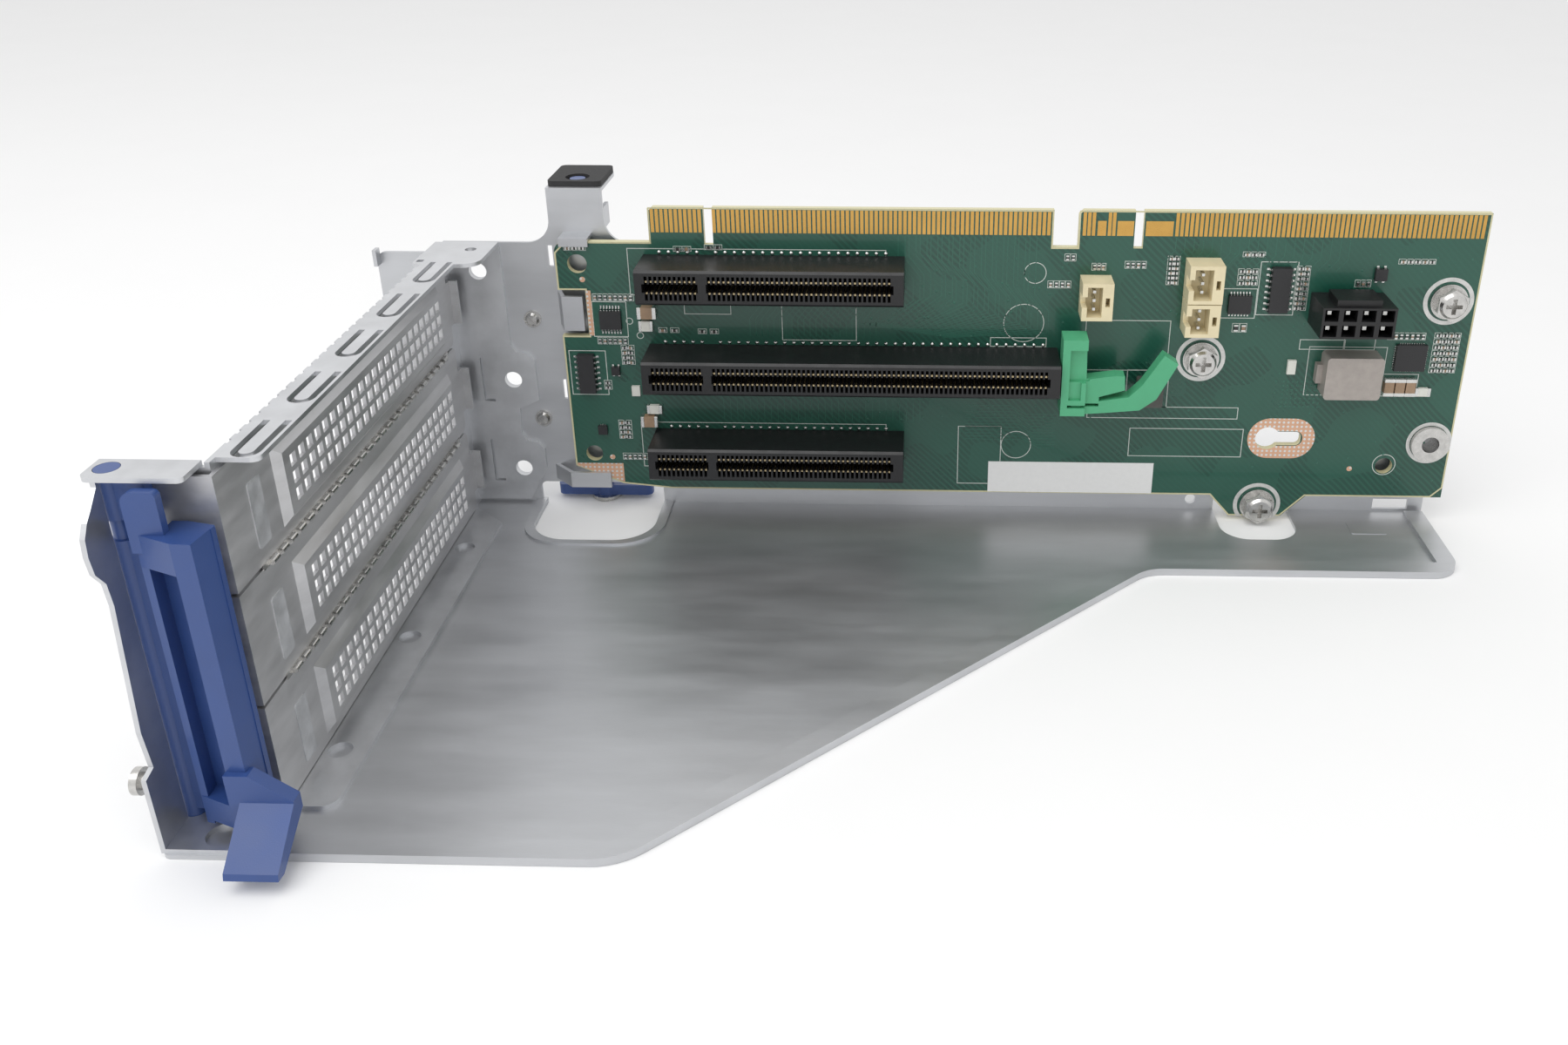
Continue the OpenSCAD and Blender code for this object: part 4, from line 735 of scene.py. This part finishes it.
class RISER_OT_solder(bpy.types.Operator):
    """Soldered pin ends above the slots"""

    bl_idname = "riser.solder"
    bl_label = "Soldered pins"

    def execute(self, context):
        r = look("riser_board").dot
        centres = []
        for node in SLOTS:
            lo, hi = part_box(node)
            z = ((lo[2] + hi[2]) / 2 - EDGE_Z) / MM + 4.25
            first = (lo[0] - EDGE_X) / MM + 3.4
            last = (hi[0] - EDGE_X) / MM - 2.5
            x = np.concatenate([first + 2.0 * np.arange(5), np.arange(first + 12.0, last, 2.0)])
            centres.append(np.stack([x, np.full(len(x), z)], 1))
        dome = [(r * 1.25, 0.0), (r * 1.05, r * 0.25), (r * 0.72, r * 0.75), (r * 0.25, r)]
        verts, faces, walls = turned(np.vstack(centres), dome, 10)
        piece("soldered_pins", verts, faces, MATERIALS["solder"], walls)
        return {"FINISHED"}


class RISER_OT_ink(bpy.types.Operator):
    """Printed outlines of the components, without any lettering"""

    bl_idname = "riser.ink"
    bl_label = "Printed outlines"

    def execute(self, context):
        line = look("riser_board").line
        rects = [
            (113.4, 30.3, 131.4, 41.8), (114.8, 18.9, 147.8, 21.6), (124.5, 9.6, 149.5, 16.4),
            (48.0, 36.6, 64.0, 45.6), (27.0, 42.4, 37.0, 45.8), (149.2, 43.4, 157.0, 55.2),
            (1.0, 23.2, 9.0, 33.6), (141.8, 42.6, 149.0, 49.2), (7.0, 37.0, 14.4, 45.0),
            (159.4, 35.6, 169.0, 37.8), (161.6, 24.9, 178.2, 36.2), (177.8, 24.8, 185.8, 30.0),
            (93.0, 35.6, 105.0, 37.6), (123.0, 21.6, 132.0, 30.4), (168.8, 35.6, 175.4, 38.2),
            (15.6, 5.6, 70.4, 16.6), (15.6, 46.6, 70.4, 57.0), (86.5, 2.2, 96.0, 16.4),
        ]
        verts, faces = ribbons(frames(rects), line, INK_T, closed=True)
        piece("printed_frames", verts, faces, MATERIALS["ink"])
        rings = [(102, 52.3, 2.3), (100, 41.0, 4.3), (99.4, 12.0, 3.3), (14.9, 40.6, 0.7),
                 (17.0, 37.3, 0.7), (181.5, 8.1, 2.5)]
        verts, faces = ribbons(circles(rings), line, INK_T, closed=True)
        piece("printed_rings", verts, faces, MATERIALS["ink"])
        return {"FINISHED"}


class RISER_OT_stage(bpy.types.Operator):
    """Pale floor, soft light and the camera"""

    bl_idname = "riser.stage"
    bl_label = "Stage"

    def execute(self, context):
        s = look("riser_stage")
        # the floor reaches this far each way, just under the plate
        size = 6.0
        low = CAD_BOX[0][2] - 0.05 * MM
        mesh = bpy.data.meshes.new("floor")
        mesh.from_pydata([(-size, -size, low), (size, -size, low), (size, size, low),
                          (-size, size, low)], [], [(0, 1, 2, 3)])
        floor = bpy.data.objects.new("floor", mesh)
        bpy.context.scene.collection.objects.link(floor)
        mat = finish_of("floor paper", s.floor, 0.9, shade=0.99, grain=20.0, spread=0.02)
        mesh.materials.append(mat)
        world = bpy.data.worlds.new("studio")
        world.use_nodes = True
        nt = world.node_tree
        nt.nodes.clear()
        out = nt.nodes.new("ShaderNodeOutputWorld")
        seen = nt.nodes.new("ShaderNodeBackground")
        light = nt.nodes.new("ShaderNodeBackground")
        seen.inputs[0].default_value = (1, 1, 1, 1)
        light.inputs[0].default_value = (1, 1, 1, 1)
        light.inputs[1].default_value = s.world
        mix = nt.nodes.new("ShaderNodeMixShader")
        path = nt.nodes.new("ShaderNodeLightPath")
        ray = math_node(nt, "MAXIMUM", path.outputs["Is Camera Ray"], path.outputs["Is Glossy Ray"])
        ray = math_node(nt, "MAXIMUM", ray, path.outputs["Is Transmission Ray"])
        nt.links.new(ray, mix.inputs["Fac"])
        nt.links.new(light.outputs[0], mix.inputs[1])
        nt.links.new(seen.outputs[0], mix.inputs[2])
        nt.links.new(mix.outputs[0], out.inputs[0])
        bpy.context.scene.world = world
        lamp = bpy.data.lights.new("key", "AREA")
        lamp.energy = s.key
        lamp.size = 0.7
        key = bpy.data.objects.new("key", lamp)
        key.location = (-0.25, -0.35, 0.75)
        key.rotation_euler = (math.radians(27), 0, math.radians(-32))
        bpy.context.scene.collection.objects.link(key)
        cam = bpy.data.cameras.new("camera")
        cam.lens = s.lens
        cam.sensor_width = 36
        cam.shift_x = -0.0678
        cam.shift_y = -0.0702
        cam.clip_start = 0.01
        obj = bpy.data.objects.new("camera", cam)
        obj.location = (-0.01898, -0.27673, 0.15152)
        obj.rotation_euler = (math.radians(90 - 24.413), 0, math.radians(1.526))
        bpy.context.scene.collection.objects.link(obj)
        bpy.context.scene.camera = obj
        bpy.context.scene.view_settings.view_transform = "Standard"
        return {"FINISHED"}


class RISER_PT_panel(bpy.types.Panel):
    """The looks and the steps that make the bracket's finish"""

    bl_idname = "RISER_PT_panel"
    bl_label = "Riser cage bracket"
    bl_space_type = "VIEW_3D"
    bl_region_type = "UI"
    bl_category = "Riser cage"

    def draw(self, context):
        for name, group in LOOKS:
            box = self.layout.box()
            box.label(text=group.__doc__)
            for prop in group.__annotations__:
                box.prop(getattr(context.scene, name), prop)
        for op in OPERATORS:
            self.layout.operator(op.bl_idname)


OPERATORS = (RISER_OT_stage, RISER_OT_metal, RISER_OT_mouldings, RISER_OT_board, RISER_OT_tracks,
             RISER_OT_passives, RISER_OT_chip_leads, RISER_OT_solder, RISER_OT_ink)


def register():
    for name, group in LOOKS:
        bpy.utils.register_class(group)
        setattr(bpy.types.Scene, name, PointerProperty(type=group))
    for cls in (*OPERATORS, RISER_PT_panel):
        bpy.utils.register_class(cls)


def unregister():
    for cls in (RISER_PT_panel, *reversed(OPERATORS)):
        bpy.utils.unregister_class(cls)
    for name, group in reversed(LOOKS):
        delattr(bpy.types.Scene, name)
        bpy.utils.unregister_class(group)


def main():
    register()
    for op in OPERATORS:
        area, step = op.bl_idname.split(".")
        getattr(getattr(bpy.ops, area), step)()


if __name__ == "__main__":
    main()
